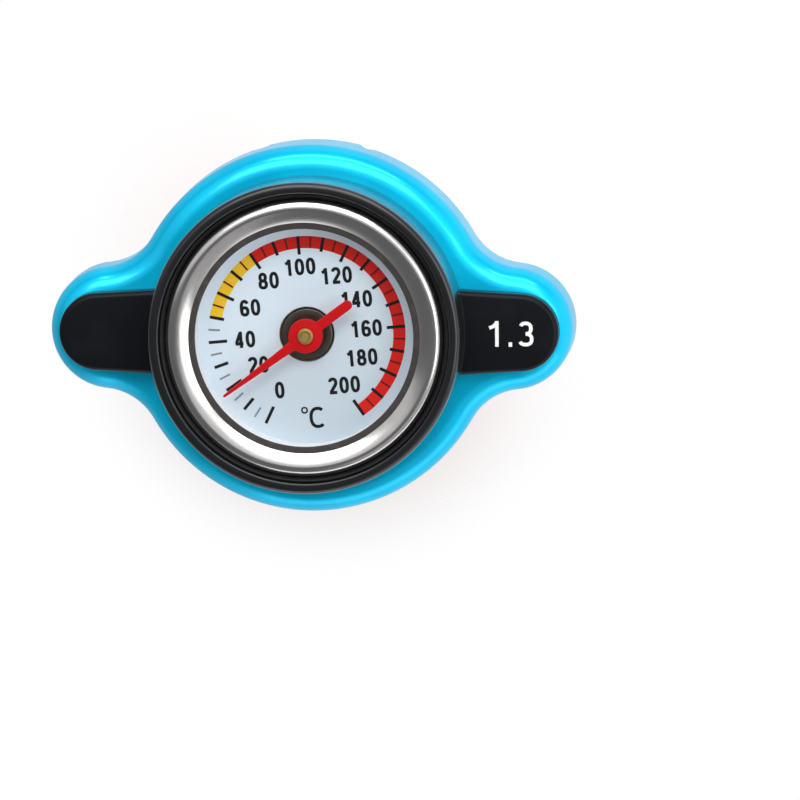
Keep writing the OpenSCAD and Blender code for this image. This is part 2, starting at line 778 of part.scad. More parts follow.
// Points of the cone's swollen side, from its wide end to its small end
function cone_side(steps) =
    [for (i = [0:steps]) let (t = i / steps)
        [vac_disc_r + (cone_end_r - vac_disc_r) * t + cone_swell * sin(180 * t), eyelet_z - cone_h * t]];

module vacuum_valve() {
    dish = vac_seal_z - dish_depth;
    color("gold") rotate_extrude() polygon(concat(
        [[vac_bore, vac_top], [vac_stem_r, vac_top], [vac_stem_r, dish], [vac_land_r, dish],
            [vac_land_r, vac_seal_z], [vac_disc_r, vac_seal_z]],
        cone_side(cone_steps),
        [[neck_r, cone_z], [neck_r, neck_z], [vac_bore, neck_z]]));
}

module vacuum_spring_cap() {
    color("gold") ring(vac_stem_r, vac_cap_r, vac_cap_z, vac_top);
}

cap_shell();
gauge_housing();
gauge_sleeve();
gauge_case();
bezel();
lens();
lens_spacer();
dial_plate();
dial_support();
spindle_bush();
stem_fitting();
probe_tube();
stem_bush();
coil_anchor();
bimetal_coil();
upper_seal();
seal_disc();
valve_guide();
retaining_ring();
pointer();
pointer_pin();
spindle();
pressure_spring();
valve_cup();
pressure_seal();
seal_eyelet();
vacuum_seat();
vacuum_seal();
vacuum_spring();
vacuum_valve();
vacuum_spring_cap();
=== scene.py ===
"""Looks of a radiator cap with a dial thermometer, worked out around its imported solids.

All lengths are in metres in the frame of the solids: +Z out of the dial, +X along the right wing.
"""

import math

import bmesh
import bpy
import numpy as np
from bpy.props import FloatProperty, FloatVectorProperty, IntProperty, PointerProperty
from bpy.types import Operator, Panel, PropertyGroup
from mathutils import Matrix, Vector


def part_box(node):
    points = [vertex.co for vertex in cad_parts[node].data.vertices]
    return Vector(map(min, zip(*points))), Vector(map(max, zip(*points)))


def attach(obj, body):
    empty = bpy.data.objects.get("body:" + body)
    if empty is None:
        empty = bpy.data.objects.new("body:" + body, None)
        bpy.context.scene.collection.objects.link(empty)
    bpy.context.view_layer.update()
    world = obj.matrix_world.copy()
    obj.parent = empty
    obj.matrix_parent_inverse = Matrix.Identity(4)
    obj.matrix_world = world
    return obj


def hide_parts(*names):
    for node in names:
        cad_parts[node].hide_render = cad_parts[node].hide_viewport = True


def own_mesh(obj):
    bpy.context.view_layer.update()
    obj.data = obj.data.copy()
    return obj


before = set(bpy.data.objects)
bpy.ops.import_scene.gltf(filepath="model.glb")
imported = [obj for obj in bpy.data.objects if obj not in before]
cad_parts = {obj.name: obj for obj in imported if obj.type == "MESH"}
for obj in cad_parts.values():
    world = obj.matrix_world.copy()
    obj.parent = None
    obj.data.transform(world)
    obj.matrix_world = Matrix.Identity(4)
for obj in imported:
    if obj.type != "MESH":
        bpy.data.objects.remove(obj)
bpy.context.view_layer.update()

bl_info = {
    "name": "Radiator cap thermometer",
    "version": (1, 0, 0),
    "blender": (4, 5, 0),
    "location": "View3D > Sidebar > Cap",
    "description": "Builds the visible pieces of a radiator cap with a dial thermometer",
    "category": "Object",
}

MM = 0.001
# A quarter, a half and a whole turn
QUARTER, HALF, TAU = math.pi / 2, math.pi, 2 * math.pi
BOX = {name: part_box(name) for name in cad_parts}
# Steps round a turned piece, round the bezel, and over a rounded corner
TURN, FINE_TURN, CORNER = 180, 288, 7
# Angle between faces past which an edge stays sharp
CREASE = math.radians(32)
# Points nearer than this are one point
MERGE = 1e-8
# Gap between pieces that lie on each other, and between pieces that fit in each other
HAIR, PLAY = 0.01 * MM, 0.05 * MM
# The photograph's frame: pixels a side, pixels a millimetre, and the pixel where the cap's middle lies
FRAME, SCALE, MIDDLE = 800, 7.665, (313.75, 325.7)
# Highest value of the dial, and the places of its numbers in millimetres from the axis
DIAL_TOP = 200
NUMBER_PLACES = {
    "0": (-3.6, -7.3), "20": (-6.35, -4.0), "40": (-8.1, -0.7), "60": (-7.4, 3.45), "80": (-4.95, 7.0),
    "100": (-0.9, 8.8), "120": (3.85, 7.7), "140": (6.45, 4.6), "160": (7.7, 0.8), "180": (7.1, -3.0),
    "200": (4.8, -6.6),
}


def top(node):
    """Level of a node's highest point."""
    return BOX[node][1].z


def foot(node):
    """Level of a node's lowest point."""
    return BOX[node][0].z


def reach(node):
    """Outer radius of a turned node."""
    return BOX[node][1].y


def span(node):
    """Lowest level, highest level and outer radius of a turned node."""
    return foot(node), top(node), reach(node)


def linear(red, green, blue):
    """A colour of the 0 to 255 scale as the linear values that a shader takes."""
    share = np.array([red, green, blue]) / 255
    return tuple(np.where(share <= 0.04045, share / 12.92, ((share + 0.055) / 1.055) ** 2.4).tolist())


def size(name, text, value):
    """A length that a user can change, given in millimetres."""
    return FloatProperty(name=name, description=text, default=value * MM, unit="LENGTH", precision=5)


def angle(name, text, degrees):
    """An angle that a user can change, given in degrees."""
    return FloatProperty(name=name, description=text, default=math.radians(degrees), unit="ROTATION")


def tint(name, text, *rgb):
    """A colour that a user can change, given on the 0 to 255 scale."""
    return FloatVectorProperty(name=name, description=text, default=linear(*rgb), subtype="COLOR",
                               min=0, max=1)


class ShellSizes(PropertyGroup):
    """Sizes of the pressed shell."""

    wing_r: size("Wing tip", "Radius of a wing's tip", 8)
    blend_r: size("Hollow", "Radius of the hollow curve between wing and round part", 8)
    sheet: size("Sheet", "Thickness of the pressed sheet", 1)
    edge: size("Edge", "Radius of the rounded edge around the top", 3)
    rim: size("Rim", "Depth of the rim below the sealing face", 6.2)
    rim_round: size("Rim round", "Rounding of the rim's two corners", 0.22)
    hole: size("Hole", "Radius of the hole in the middle of the shell", 4.05)
    tang_angle: angle("Tang", "Width of a bayonet tang around the axis", 31)
    tang_bend: size("Tang bend", "Outer radius of a tang's bend", 1.6)
    lip: size("Lip", "How far a tang's lip reaches inwards from the outside of the shell", 2.8)
    notch_r: size("Round notch", "Radius of the round notch beside a tang", 1)
    vee_half: size("Vee mouth", "Half the mouth of the vee notch beside a tang", 1.1)
    vee_depth: size("Vee depth", "Depth of the vee notch", 1.6)


class HousingSizes(PropertyGroup):
    """Sizes of the plastic housing and its pads."""

    wall: size("Wall", "Wall of the plastic housing", 1.4)
    floor: size("Floor", "Floor of the plastic housing", 1.2)
    shoulder: size("Shoulder", "Rounding of the housing's top edge, outside", 0.95)
    inner_round: size("Inner edge", "Rounding of the housing's top edge, inside", 0.25)
    bore: size("Stem hole", "Radius of the hole for the stem", 3.25)
    pad_t: size("Pad", "Thickness of a wing pad", 2.7)
    pad_tip: size("Pad reach", "How far a pad reaches from the axis", 32.6)
    pad_half: size("Pad tip", "Half the width of a pad where its round tip starts", 5.05)
    pad_flare: size("Pad flare", "How much wider half a pad is at the housing", 0.45)
    pad_round: size("Pad edge", "Rounding of a pad's top edge", 0.7)
    pad_crown: size("Pad crown", "How far the middle of a pad's face is raised", 0.12)
    peg_head_r: size("Peg head", "Radius of a staked peg head under a wing", 2.4)
    peg_head_h: size("Peg head height", "Height of a staked peg head", 0.9)
    rating: size("Rating", "Height of the number on the right pad", 3.35)
    rating_wide: FloatProperty(name="Rating width", default=1.24,
                               description="How far that number is drawn out sideways")
    rating_pen: size("Rating pen", "Width of that number's strokes", 0.46)


class GaugeSizes(PropertyGroup):
    """Sizes of the gauge, its print and its pointer."""

    window: size("Window", "Radius of the window inside the gasket", 14.2)
    bead: size("Bead", "Radius of the bezel's rolled bead", 1.2)
    slope: size("Slope", "Radius of the bezel's face inside the bead", 6.05)
    bead_end: angle("Bead end", "Lean of the bezel's face where the bead ends", 14)
    slope_end: angle("Slope end", "Lean of the bezel's face at the gasket", 30)
    gasket: size("Gasket", "Height of the dark gasket between the bezel and the window", 0.22)
    skirt: size("Skirt", "Sheet thickness of the bezel's skirt", 0.65)
    dial_hole: size("Dial hole", "Radius of the hole in the middle of the dial", 3.57)
    band_in: size("Band inside", "Inner radius of the coloured bands", 11.25)
    band_out: size("Band outside", "Outer radius of the coloured bands and of the long marks", 12.85)
    ink: size("Ink", "Height of the print above the dial", 0.012)
    digit: size("Digits", "Height of the dial's numbers", 2.14)
    letter: size("Letter", "Height of the dial's letter", 2.85)
    pen: size("Pen", "Width of the strokes of the dial's numbers", 0.42)
    start: angle("Zero", "Direction of the zero mark, counted from +X against the clock", 245)
    sweep: angle("Sweep", "Angle that the scale covers", 300)
    tilt: angle("Tilt", "How far the dial's print is turned against the clock", 5)
    needle: size("Needle", "Length of the needle from the axis", 13.4)
    needle_root: size("Needle root", "Half the width of the needle at the axis", 0.74)
    needle_end: size("Needle end", "Half the width of the needle near its tip", 0.17)
    tail: size("Tail", "Length of the tail from the axis", 7.4)
    tail_half: size("Tail width", "Half the width of the tail", 0.65)
    hub: size("Hub", "Radius of the pointer's hub", 2.24)
    rest: angle("Rest", "Direction of the resting needle, counted from +X against the clock", 216.5)


class ValveSizes(PropertyGroup):
    """Sizes of the valve, its springs and the probe."""

    cup_sheet: size("Cup sheet", "Sheet thickness of the valve cup", 0.8)
    cup_skirt: size("Cup skirt", "Height of the valve cup's skirt", 4.2)
    cup_step: size("Cup step", "How far the cup's skirt stays inside its rolled rim", 0.22)
    hub_r: size("Cup hub", "Outside radius of the cup's hub", 4.9)
    hub_bore: size("Cup bore", "Radius of the bore of the cup's hub", 4.05)
    flange_round: size("Flange round", "Rounding of the flange's lower edge", 0.8)
    collar_r: size("Collar", "Radius of the pressure seal's collar", 9.15)
    collar_fillet: size("Collar fillet", "Hollow between the collar and the flange", 0.9)
    eyelet_r: size("Eyelet", "Inside radius of the brass eyelet", 6.4)
    eyelet_wall: size("Eyelet wall", "Wall of the brass eyelet", 0.55)
    cone_r: size("Cone", "Radius of the brass cone's wide end", 6.2)
    cone_end: size("Cone end", "Radius of the cone's small end", 3.35)
    cone_h: size("Cone height", "Height of the brass cone", 2.8)
    cone_swell: size("Cone swell", "Sag of the cone's swollen side", 0.35)
    neck_r: size("Neck", "Radius of the neck below the cone", 2.85)
    neck_h: size("Neck height", "Height of that neck", 1.2)
    bore: size("Valve bore", "Radius of the vacuum valve's bore", 2.5)
    guide_r: size("Guide", "Radius of the valve guide", 4)
    guide_flange: size("Guide flange", "Thickness of the guide's clamping flange", 1.5)
    wire: size("Wire", "Wire of the pressure spring", 1.8)
    turns: FloatProperty(name="Turns", description="Turns of the pressure spring", default=3.25)
    wire_sides: IntProperty(name="Wire sides", description="Sides of a spring's wire", default=20)
    tip_round: size("Probe tip", "Rounding of the probe's tip", 1.25)


class Colours(PropertyGroup):
    """Colours of all finishes."""

    blue: tint("Blue", "Bright blue of the shell", 0, 206, 250)
    deep_blue: tint("Deep blue", "Darker blue of the shell", 0, 184, 232)
    black: tint("Black", "Black of the housing's plastic", 16, 18, 22)
    rubber: tint("Sleeve", "Black of the rubber sleeve", 30, 30, 32)
    gasket: tint("Gasket", "Dark brown of the window's gasket", 58, 55, 53)
    spacer: tint("Spacer", "White of the ring between dial and window", 236, 238, 240)
    steel: tint("Steel", "Bright steel of the bezel", 205, 203, 202)
    sheet_steel: tint("Sheet steel", "Grey of the pressed steel pieces", 186, 187, 190)
    dial: tint("Dial", "Pale blue of the dial", 228, 243, 255)
    yellow: tint("Yellow", "Yellow band of the dial", 250, 200, 40)
    red: tint("Red", "Red band of the dial", 224, 26, 12)
    ink: tint("Ink", "Black print of the dial", 14, 14, 17)
    fine_ink: tint("Fine ink", "Grey of the fine marks on the pale dial", 128, 138, 148)
    fine_red: tint("Fine red", "Dark red of the fine marks on the bands", 104, 20, 12)
    pointer: tint("Pointer", "Red of the pointer", 204, 6, 16)
    seal: tint("Seal", "Red of the rubber seals", 232, 52, 58)
    brass: tint("Brass", "Yellow of the brass pieces", 232, 196, 118)
    copper: tint("Copper", "Pink of the copper probe", 238, 172, 140)
    spring: tint("Spring", "Black of the spring's wire", 22, 20, 20)
    bronze: tint("Bush", "Dark bronze of the bush in the dial", 98, 92, 86)


class CapLook(PropertyGroup):
    """Everything that a user can change."""

    shell: PointerProperty(type=ShellSizes)
    housing: PointerProperty(type=HousingSizes)
    gauge: PointerProperty(type=GaugeSizes)
    valve: PointerProperty(type=ValveSizes)
    colours: PointerProperty(type=Colours)


def both_ways(operation):
    """The methods of one operator and of its reflected form. Each adds a Math node."""
    return (lambda left, right: left.maths(operation, left, right),
            lambda right, left: right.maths(operation, left, right))


class Value:
    """One shader socket. Arithmetic on it adds Math nodes, so that a pattern reads as a formula."""

    def __init__(self, nodes, socket):
        self.nodes, self.socket = nodes, socket

    def maths(self, operation, *values):
        return self.nodes.node("ShaderNodeMath", {"operation": operation}, dict(enumerate(values)))

    __add__, __radd__ = both_ways("ADD")
    __sub__, __rsub__ = both_ways("SUBTRACT")
    __mul__, __rmul__ = both_ways("MULTIPLY")
    __pow__, __rpow__ = both_ways("POWER")

    def ramp(self, low, high):
        """0 below low, 1 above high and an even S between them."""
        return self.nodes.node("ShaderNodeMapRange", {"interpolation_type": "SMOOTHSTEP"},
                               {"Value": self, "From Min": low, "From Max": high})


class Nodes:
    """A node tree that is filled by one method."""

    def __init__(self, tree):
        self.tree = tree

    def node(self, kind, settings=None, sockets=None, out=0):
        """Adds a node of one kind, makes its settings, then sets or links its sockets by name or place."""
        made = self.tree.nodes.new(kind)
        for key, value in (settings or {}).items():
            setattr(made, key, value)
        live = [s for s in made.inputs if s.enabled]
        for key, value in (sockets or {}).items():
            self.feed(live[key] if isinstance(key, int) else next(s for s in live if s.name == key), value)
        outs = [s for s in made.outputs if s.enabled]
        return Value(self, outs[out] if isinstance(out, int) else made.outputs[out])

    def feed(self, socket, value):
        """Links a value to a socket, or sets the socket's own number or colour."""
        if isinstance(value, Value):
            self.tree.links.new(value.socket, socket)
        elif hasattr(value, "__len__") and len(value) == 3 and socket.type == "RGBA":
            socket.default_value = (*value, 1)
        else:
            socket.default_value = value

    def mixed(self, share, first, second):
        """A colour that goes from the first to the second as the share goes from 0 to 1."""
        return self.node("ShaderNodeMix", {"data_type": "RGBA"}, {"Factor": share, "A": first, "B": second})

    def show(self, share, first, second, output="Material Output"):
        """Ends the tree in a mix of two shaders."""
        both = self.node("ShaderNodeMixShader", None, {0: share, 1: first, 2: second})
        self.tree.links.new(both.socket, self.tree.nodes[output].inputs["Surface"])


class Finish(Nodes):
    """A procedural material around one Principled shader, patterned on Object coordinates."""

    def __init__(self, name, **plain):
        self.material = bpy.data.materials.new(name)
        self.material.use_nodes = True
        super().__init__(self.material.node_tree)
        self.shader = self.tree.nodes["Principled BSDF"]
        for key, value in plain.items():
            self[key.replace("_", " ")] = value

    def __setitem__(self, socket, value):
        self.feed(self.shader.inputs[socket], value)

    def place(self):
        return self.node("ShaderNodeTexCoord", out="Object")

    def along(self, axis):
        """One coordinate of the place on the surface, in metres."""
        return self.node("ShaderNodeSeparateXYZ", None, {0: self.place()}, out=axis)

    def radius(self):
        """Distance from the axis, in metres."""
        x, y = self.along("X"), self.along("Y")
        return (x * x + y * y) ** 0.5

    def noise(self, grain, detail=2.0, rough=0.5, at=None):
        """Cloudy noise from 0 to 1 whose patches are about one grain wide, in metres."""
        return self.node("ShaderNodeTexNoise", None, {"Vector": at or self.place(), "Scale": 1 / grain,
                                                      "Detail": detail, "Roughness": rough})

    def lathe_lines(self, grain, detail, rough, across, stretch):
        """Noise in lines round the axis: it changes with one value across them, and hardly with x and y."""
        x, y = self.along("X") * stretch, self.along("Y") * stretch
        at = self.node("ShaderNodeCombineXYZ", None, {0: across, 1: x, 2: y})
        return self.noise(grain, detail, rough, at)

    def bump(self, height, depth):
        """Raises the surface by height times depth, in metres."""
        sockets = {"Height": height, "Distance": depth, "Strength": 1.0}
        self["Normal"] = self.node("ShaderNodeBump", None, sockets)


def shade(colour, factor):
    """A colour times a number."""
    return tuple(min(1.0, c * factor) for c in colour)


def patchy(name, first, second, noise, edges, share, rough, **plain):
    """A finish that drifts between two colours in cloudy patches, and the noise that makes them.

    The second colour reaches its share as the noise climbs from the lower to the upper edge. The roughness
    is the first number of rough plus the noise times the second.
    """
    f = Finish(name, **plain)
    cloud = f.noise(*noise)
    f["Base Color"] = f.mixed(cloud.ramp(*edges) * share, first, second)
    f["Roughness"] = rough[0] + rough[1] * cloud
    return f, cloud


def blue_paint(look, rim):
    """Candy blue over bright metal: cloudy depth of colour, fine flake, a clear coat and a chipped rim."""
    f = Finish("candy_blue", Metallic=0.4, Specular_IOR_Level=0.1, Specular_Tint=(0.35, 0.7, 0.85, 1),
               Coat_Weight=0.4, Coat_Roughness=0.12)
    cloud, flake = f.noise(7 * MM, 3), f.noise(0.16 * MM, 1)
    colour = f.mixed(cloud.ramp(0.3, 0.75) * 0.6, look.blue, look.deep_blue)
    colour = f.mixed(flake.ramp(0.62, 0.8) * 0.22, colour, shade(look.blue, 1.25))
    # Chips lie on the rim's lower edge, and only beside the tangs
    x, z = f.along("X"), f.along("Z")
    edge = z.ramp(-rim - 0.12 * MM, -rim - 0.02 * MM) * (1 - z.ramp(0.1 * MM - rim, 0.4 * MM - rim))
    beside = (x * x).ramp(40 * MM * MM, 52 * MM * MM)
    chips = edge * beside * f.noise(0.5 * MM, 4, 0.65).ramp(0.56, 0.66)
    f["Base Color"] = f.mixed(chips * 0.5, colour, (0.05, 0.12, 0.18))
    f["Roughness"] = 0.28 + 0.08 * f.noise(1.6 * MM, 3) + 0.25 * chips
    return f.material


def black_plastic(look):
    """Moulded black plastic: fine grain with faint rubbed patches, the ring shinier than the pads."""
    f = Finish("moulded_black", Specular_IOR_Level=0.14, Coat_Roughness=0.22)
    ring = reach("gauge_housing")
    f["Coat Weight"] = 1 - f.radius().ramp(ring, ring + 0.2 * MM)
    grain, rub = f.noise(0.14 * MM, 3, 0.6), f.noise(5 * MM, 4, 0.6)
    f["Base Color"] = f.mixed(rub.ramp(0.45, 0.75) * 0.35, look.black, shade(look.black, 2.2))
    f["Roughness"] = 0.3 + 0.12 * grain - 0.06 * rub
    f.bump(grain, 0.008 * MM)
    return f.material


def sleeve_rubber(look):
    """Soft black rubber with a dull bloom in patches."""
    f, _ = patchy("sleeve_rubber", look.rubber, shade(look.rubber, 2.5), (2.2 * MM, 4, 0.6), (0.4, 0.8), 0.4,
                  (0.3, 0.25), Specular_IOR_Level=0.2)
    f.bump(f.noise(0.2 * MM, 2), 0.008 * MM)
    return f.material


def gasket_rubber(look):
    """Dark brown gasket, satin, worn a little paler in patches."""
    f, _ = patchy("gasket_rubber", look.gasket, shade(look.gasket, 2.0), (1.2 * MM, 4, 0.6), (0.45, 0.8), 0.5,
                  (0.32, 0.2), Specular_IOR_Level=0.35)
    return f.material


def printed(name, colour):
    """Screen printed ink: slightly uneven cover and a satin skin."""
    f, _ = patchy(name, colour, shade(colour, 1.25), (0.3 * MM, 3, 0.6), (0.5, 0.8), 0.35, (0.42, 0.16),
                  Specular_IOR_Level=0.2)
    return f.material


def white_print():
    """White paint filled into the pad's face, thin in places."""
    f, _ = patchy("white_print", (0.86, 0.87, 0.88), (0.6, 0.61, 0.62), (0.35 * MM, 3, 0.6),
                  (0.55, 0.85), 0.4, (0.45, 0.15))
    return f.material


def pointer_paint(look):
    """Glossy red stove enamel with a little orange peel."""
    f, peel = patchy("pointer_enamel", look.pointer, shade(look.pointer, 0.8), (0.5 * MM, 2),
                     (0.35, 0.75), 0.4, (0.32, 0.12), Specular_IOR_Level=0.15, Coat_Weight=0.05,
                     Coat_Roughness=0.12)
    f.bump(peel, 0.006 * MM)
    return f.material


def spring_black(look):
    """Oiled black spring wire: glossy, with drawn lines and a few bare glints."""
    f, _ = patchy("oiled_wire", look.spring, shade(look.spring, 4.0), (1.5 * MM, 4, 0.6), (0.55, 0.75), 0.5,
                  (0.24, 0.2), Metallic=0.35, Coat_Weight=0.7, Coat_Roughness=0.1)
    f.bump(f.noise(0.3 * MM, 3), 0.008 * MM)
    return f.material


def spun_steel(name, colour, rough):
    """Metal polished on the lathe: hair lines run round the axis, with cloudy dull patches."""
    f = Finish(name, Metallic=1.0)
    hair = f.lathe_lines(0.05 * MM, 3, 0.6, f.radius() + 0.7 * f.along("Z"), 0.012)
    dull = f.noise(3 * MM, 3, 0.55)
    f["Base Color"] = f.mixed(dull.ramp(0.35, 0.8) * 0.35, colour, shade(colour, 0.78))
    f["Roughness"] = rough + 0.07 * hair + 0.08 * dull
    f.bump(hair, 0.0025 * MM)
    return f.material


def turned_metal(name, colour, dark, rough):
    """Turned brass or copper: fine tool lines across the axis, warm tarnish in patches."""
    f = Finish(name, Metallic=1.0)
    lines = f.lathe_lines(0.09 * MM, 2, 0.5, f.along("Z") + 0.6 * f.radius(), 0.03)
    cloud = f.noise(1.8 * MM, 4, 0.6)
    f["Base Color"] = f.mixed(cloud.ramp(0.42, 0.8) * 0.55, colour, dark)
    f["Roughness"] = rough + 0.08 * lines + 0.14 * cloud
    f.bump(lines, 0.006 * MM)
    return f.material


def worn_and_shaded_sheet(look):
    """Plated steel sheet: dull patches, painted shade that darkens the cup above its rolled rim, and a dark
    mottled band towards the free edge of the cup.
    """
    f = Finish("plated_sheet", Metallic=1.0)
    cloud, speck = f.noise(2.4 * MM, 4, 0.6), f.noise(0.45 * MM, 4, 0.65)
    z = f.along("Z")
    on_cup = 1 - z.ramp(-4 * MM, -3.6 * MM)
    # Painted shade: band marks the cup above its rolled rim, which is mixed towards a darker grey
    band, edge = z.ramp(-9.6 * MM, -9.1 * MM) * on_cup, z.ramp(-8.2 * MM, -6.9 * MM) * on_cup
    grey = f.mixed(cloud.ramp(0.35, 0.75) * 0.5, look.sheet_steel, shade(look.sheet_steel, 0.6))
    grey = f.mixed(band * 0.35, grey, shade(look.sheet_steel, 0.3))
    f["Base Color"] = f.mixed(edge * speck.ramp(0.48, 0.62) * 0.7, grey, (0.02, 0.02, 0.022))
    f["Roughness"] = 0.27 + 0.15 * cloud + 0.2 * edge * speck
    f.bump(speck, 0.01 * MM)
    return f.material


def clear_glass():
    """Clear window: light passes straight through, and a share is mirrored.

    That share is 2 % seen straight on, as on coated glass, and grows with the fifth power of how far the
    surface turns away.
    """
    f = Finish("clear_window")
    straight_on = 0.02
    turned_away = f.node("ShaderNodeLayerWeight", None, {"Blend": 0.5}, out="Facing")
    mirror = f.node("ShaderNodeBsdfGlossy", None, {"Roughness": 0.02})
    clear = f.node("ShaderNodeBsdfTransparent", None, {"Color": (0.985, 0.99, 0.99)})
    f.show(straight_on + (1 - straight_on) * turned_away ** 5, clear, mirror)
    f.tree.nodes.remove(f.shader)
    return f.material


def dial_paint(look):
    """Pale satin paint with the faint unevenness of a sprayed sheet, and painted shade that makes it darker
    towards its lower right.
    """
    f = Finish("dial_paint", Coat_Weight=0.1, Coat_Roughness=0.3)
    cloud, tooth = f.noise(6 * MM, 3), f.noise(0.18 * MM, 2)
    # Painted shade: the share of a darker copy of the dial's colour grows towards the lower right
    fall = (f.along("X") * 0.35 - f.along("Y")).ramp(-13 * MM, 17 * MM)
    pale = f.mixed(cloud.ramp(0.3, 0.75) * 0.3, look.dial, shade(look.dial, 0.93))
    f["Base Color"] = f.mixed(fall, pale, shade(look.dial, 0.7))
    f["Roughness"] = 0.5 + 0.12 * tooth
    f.bump(tooth, 0.003 * MM)
    return f.material


def red_rubber(look):
    """Moulded red silicone: matt, with pale dust in patches and a fine skin."""
    f = Finish("seal_rubber", IOR=1.43, Subsurface_Weight=0.08, Subsurface_Scale=0.6 * MM)
    cloud, speck = f.noise(3.5 * MM, 4, 0.6), f.noise(0.35 * MM, 3, 0.6)
    red = f.mixed(cloud.ramp(0.35, 0.75) * 0.45, look.seal, shade(look.seal, 0.78))
    f["Base Color"] = f.mixed(speck.ramp(0.66, 0.8) * 0.25, red, (0.85, 0.35, 0.33))
    f["Roughness"] = 0.5 + 0.18 * cloud
    f.bump(0.6 * speck + 0.4 * f.noise(0.12 * MM, 2), 0.012 * MM)
    return f.material


def woven(points, wrap_u, wrap_v):
    """Four-sided faces over a grid of points. A wrapped side joins its last row to its first."""
    index = np.arange(points.shape[0] * points.shape[1]).reshape(points.shape[:2])
    if wrap_u:
        index = np.vstack([index, index[:1]])
    if wrap_v:
        index = np.hstack([index, index[:, :1]])
    cells = [index[:-1, :-1], index[1:, :-1], index[1:, 1:], index[:-1, 1:]]
    return np.stack(cells, -1).reshape(-1, 4)


def lid(ring):
    """A flat fan from a ring of points to its middle, as a grid of two rows."""
    return np.stack([ring, np.broadcast_to(ring.mean(0), ring.shape)]), False, True


def capped(grid):
    """The skins of a closed section carried along an open line: its side and a lid at each end."""
    return [(grid, False, True), lid(grid[0]), lid(grid[-1])]


def unit(vectors):
    """Vectors brought to length one."""
    return vectors / np.linalg.norm(vectors, axis=-1, keepdims=True)


def around(r, a, z):
    """Points at a radius, an angle round the axis and a level: (r cos a, r sin a, z)."""
    return np.stack(np.broadcast_arrays(r * np.cos(a), r * np.sin(a), z), -1)


def piece(name, body, skins, material, nodes=()):
    """One piece out of skins, each a grid of points and which of its sides wrap.

    The grids are joined, their doubles are merged, the faces are turned outwards, and edges past the
    crease angle stay sharp. The piece rides on a body, stands for the named solids and takes the given
    finish.
    """
    points = np.concatenate([grid.reshape(-1, 3) for grid, *_ in skins])
    starts = np.cumsum([0] + [grid.shape[0] * grid.shape[1] for grid, *_ in skins])
    faces = np.concatenate([woven(*skin) + start for skin, start in zip(skins, starts)])
    mesh = bpy.data.meshes.new(name)
    mesh.vertices.add(len(points))
    mesh.vertices.foreach_set("co", points.astype(np.float32).ravel())
    mesh.loops.add(faces.size)
    mesh.loops.foreach_set("vertex_index", faces.astype(np.int32).ravel())
    mesh.polygons.add(len(faces))
    mesh.polygons.foreach_set("loop_start", np.arange(0, faces.size, 4, dtype=np.int32))
    mesh.update(calc_edges=True)
    work = bmesh.new()
    work.from_mesh(mesh)
    bmesh.ops.remove_doubles(work, verts=work.verts, dist=MERGE)
    bmesh.ops.recalc_face_normals(work, faces=work.faces)
    work.to_mesh(mesh)
    work.free()
    mesh.shade_smooth()
    mesh.set_sharp_from_angle(angle=CREASE)
    mesh.materials.append(material)
    made = bpy.data.objects.new(name, mesh)
    bpy.context.scene.collection.objects.link(made)
    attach(made, body)
    if nodes:
        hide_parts(*nodes)
    return made


def section(*corners):
    """A closed outline through corners (radius, level, rounding).

    A rounded corner becomes an arc that touches both of its sides: its middle lies on the line that halves
    the corner, at the rounding over the sine of half the corner's angle.
    """
    line = []
    for i, (r, z, *more) in enumerate(corners):
        here = np.array([r, z])
        if not any(more):
            line.append(here[None])
            continue
        back, ahead = (np.array(corners[k % len(corners)][:2]) - here for k in (i - 1, i + 1))
        room = min(np.linalg.norm(back), np.linalg.norm(ahead)) / 2
        back, ahead = unit(back), unit(ahead)
        half = math.acos(np.clip(back @ ahead, -1, 1)) / 2
        round_r = min(more[0], room * math.tan(half))
        middle = here + unit(back + ahead) * round_r / math.sin(half)
        first, last = (here + d * round_r / math.tan(half) - middle for d in (back, ahead))
        start = math.atan2(first[1], first[0])
        turn = (math.atan2(last[1], last[0]) - start + HALF) % TAU - HALF
        a = start + turn * np.linspace(0, 1, CORNER)
        line.append(middle + round_r * np.stack([np.cos(a), np.sin(a)], -1))
    return np.concatenate(line)


def turned(outline, closed=True, steps=TURN):
    """An outline carried once round the axis: (r, z) goes to (r cos a, r sin a, z)."""
    a = np.linspace(0, TAU, steps, endpoint=False)[:, None]
    return around(outline[:, 0], a, outline[:, 1]), True, closed


def spun(name, body, outline, material, node, steps=TURN):
    """One turned piece that stands for one solid."""
    piece(name, body, [turned(outline, steps=steps)], material, [node])


def eased(t, e):
    """Share of the climb at a share t of the length: a curve at both ends over e of it, straight between."""
    bend = 2 * e * (1 - e)
    return np.where(t < e, t * t / bend, np.where(t > 1 - e, 1 - (1 - t) ** 2 / bend, (t - e / 2) / (1 - e)))


def spring_line(r, low, high, turns, per_turn, ease=0.3):
    """Points of a spring's middle line: a helix whose climb is eased flat at both ends, over ease turns."""
    t = np.linspace(0, 1, int(turns * per_turn) + 1)
    return around(r, TAU * turns * t, low + (high - low) * eased(t, ease / turns))


def wire(line, r, sides):
    """A round wire along a line: rings of points square to the line, closed by lids at both ends."""
    step = np.gradient(line, axis=0)
    across = unit(np.cross(step, unit(line * (1, 1, 0))))
    side = unit(np.cross(across, step))
    a = np.linspace(0, TAU, sides, endpoint=False)[None, :, None]
    return capped(line[:, None] + r * (np.cos(a) * side[:, None] + np.sin(a) * across[:, None]))


def coil(name, body, node, finish, r, half, turns, per_turn=48, sides=12, share=1):
    """A spring that stands for a solid one: a wire whose line keeps half a wire inside the solid's height.

    The wire is drawn with a share of its radius, so that it stays clear of what it touches.
    """
    low, high, _ = span(node)
    line = spring_line(r, low + half, high - half, turns, per_turn)
    return piece(name, body, wire(line, half * share, sides), finish, [node])


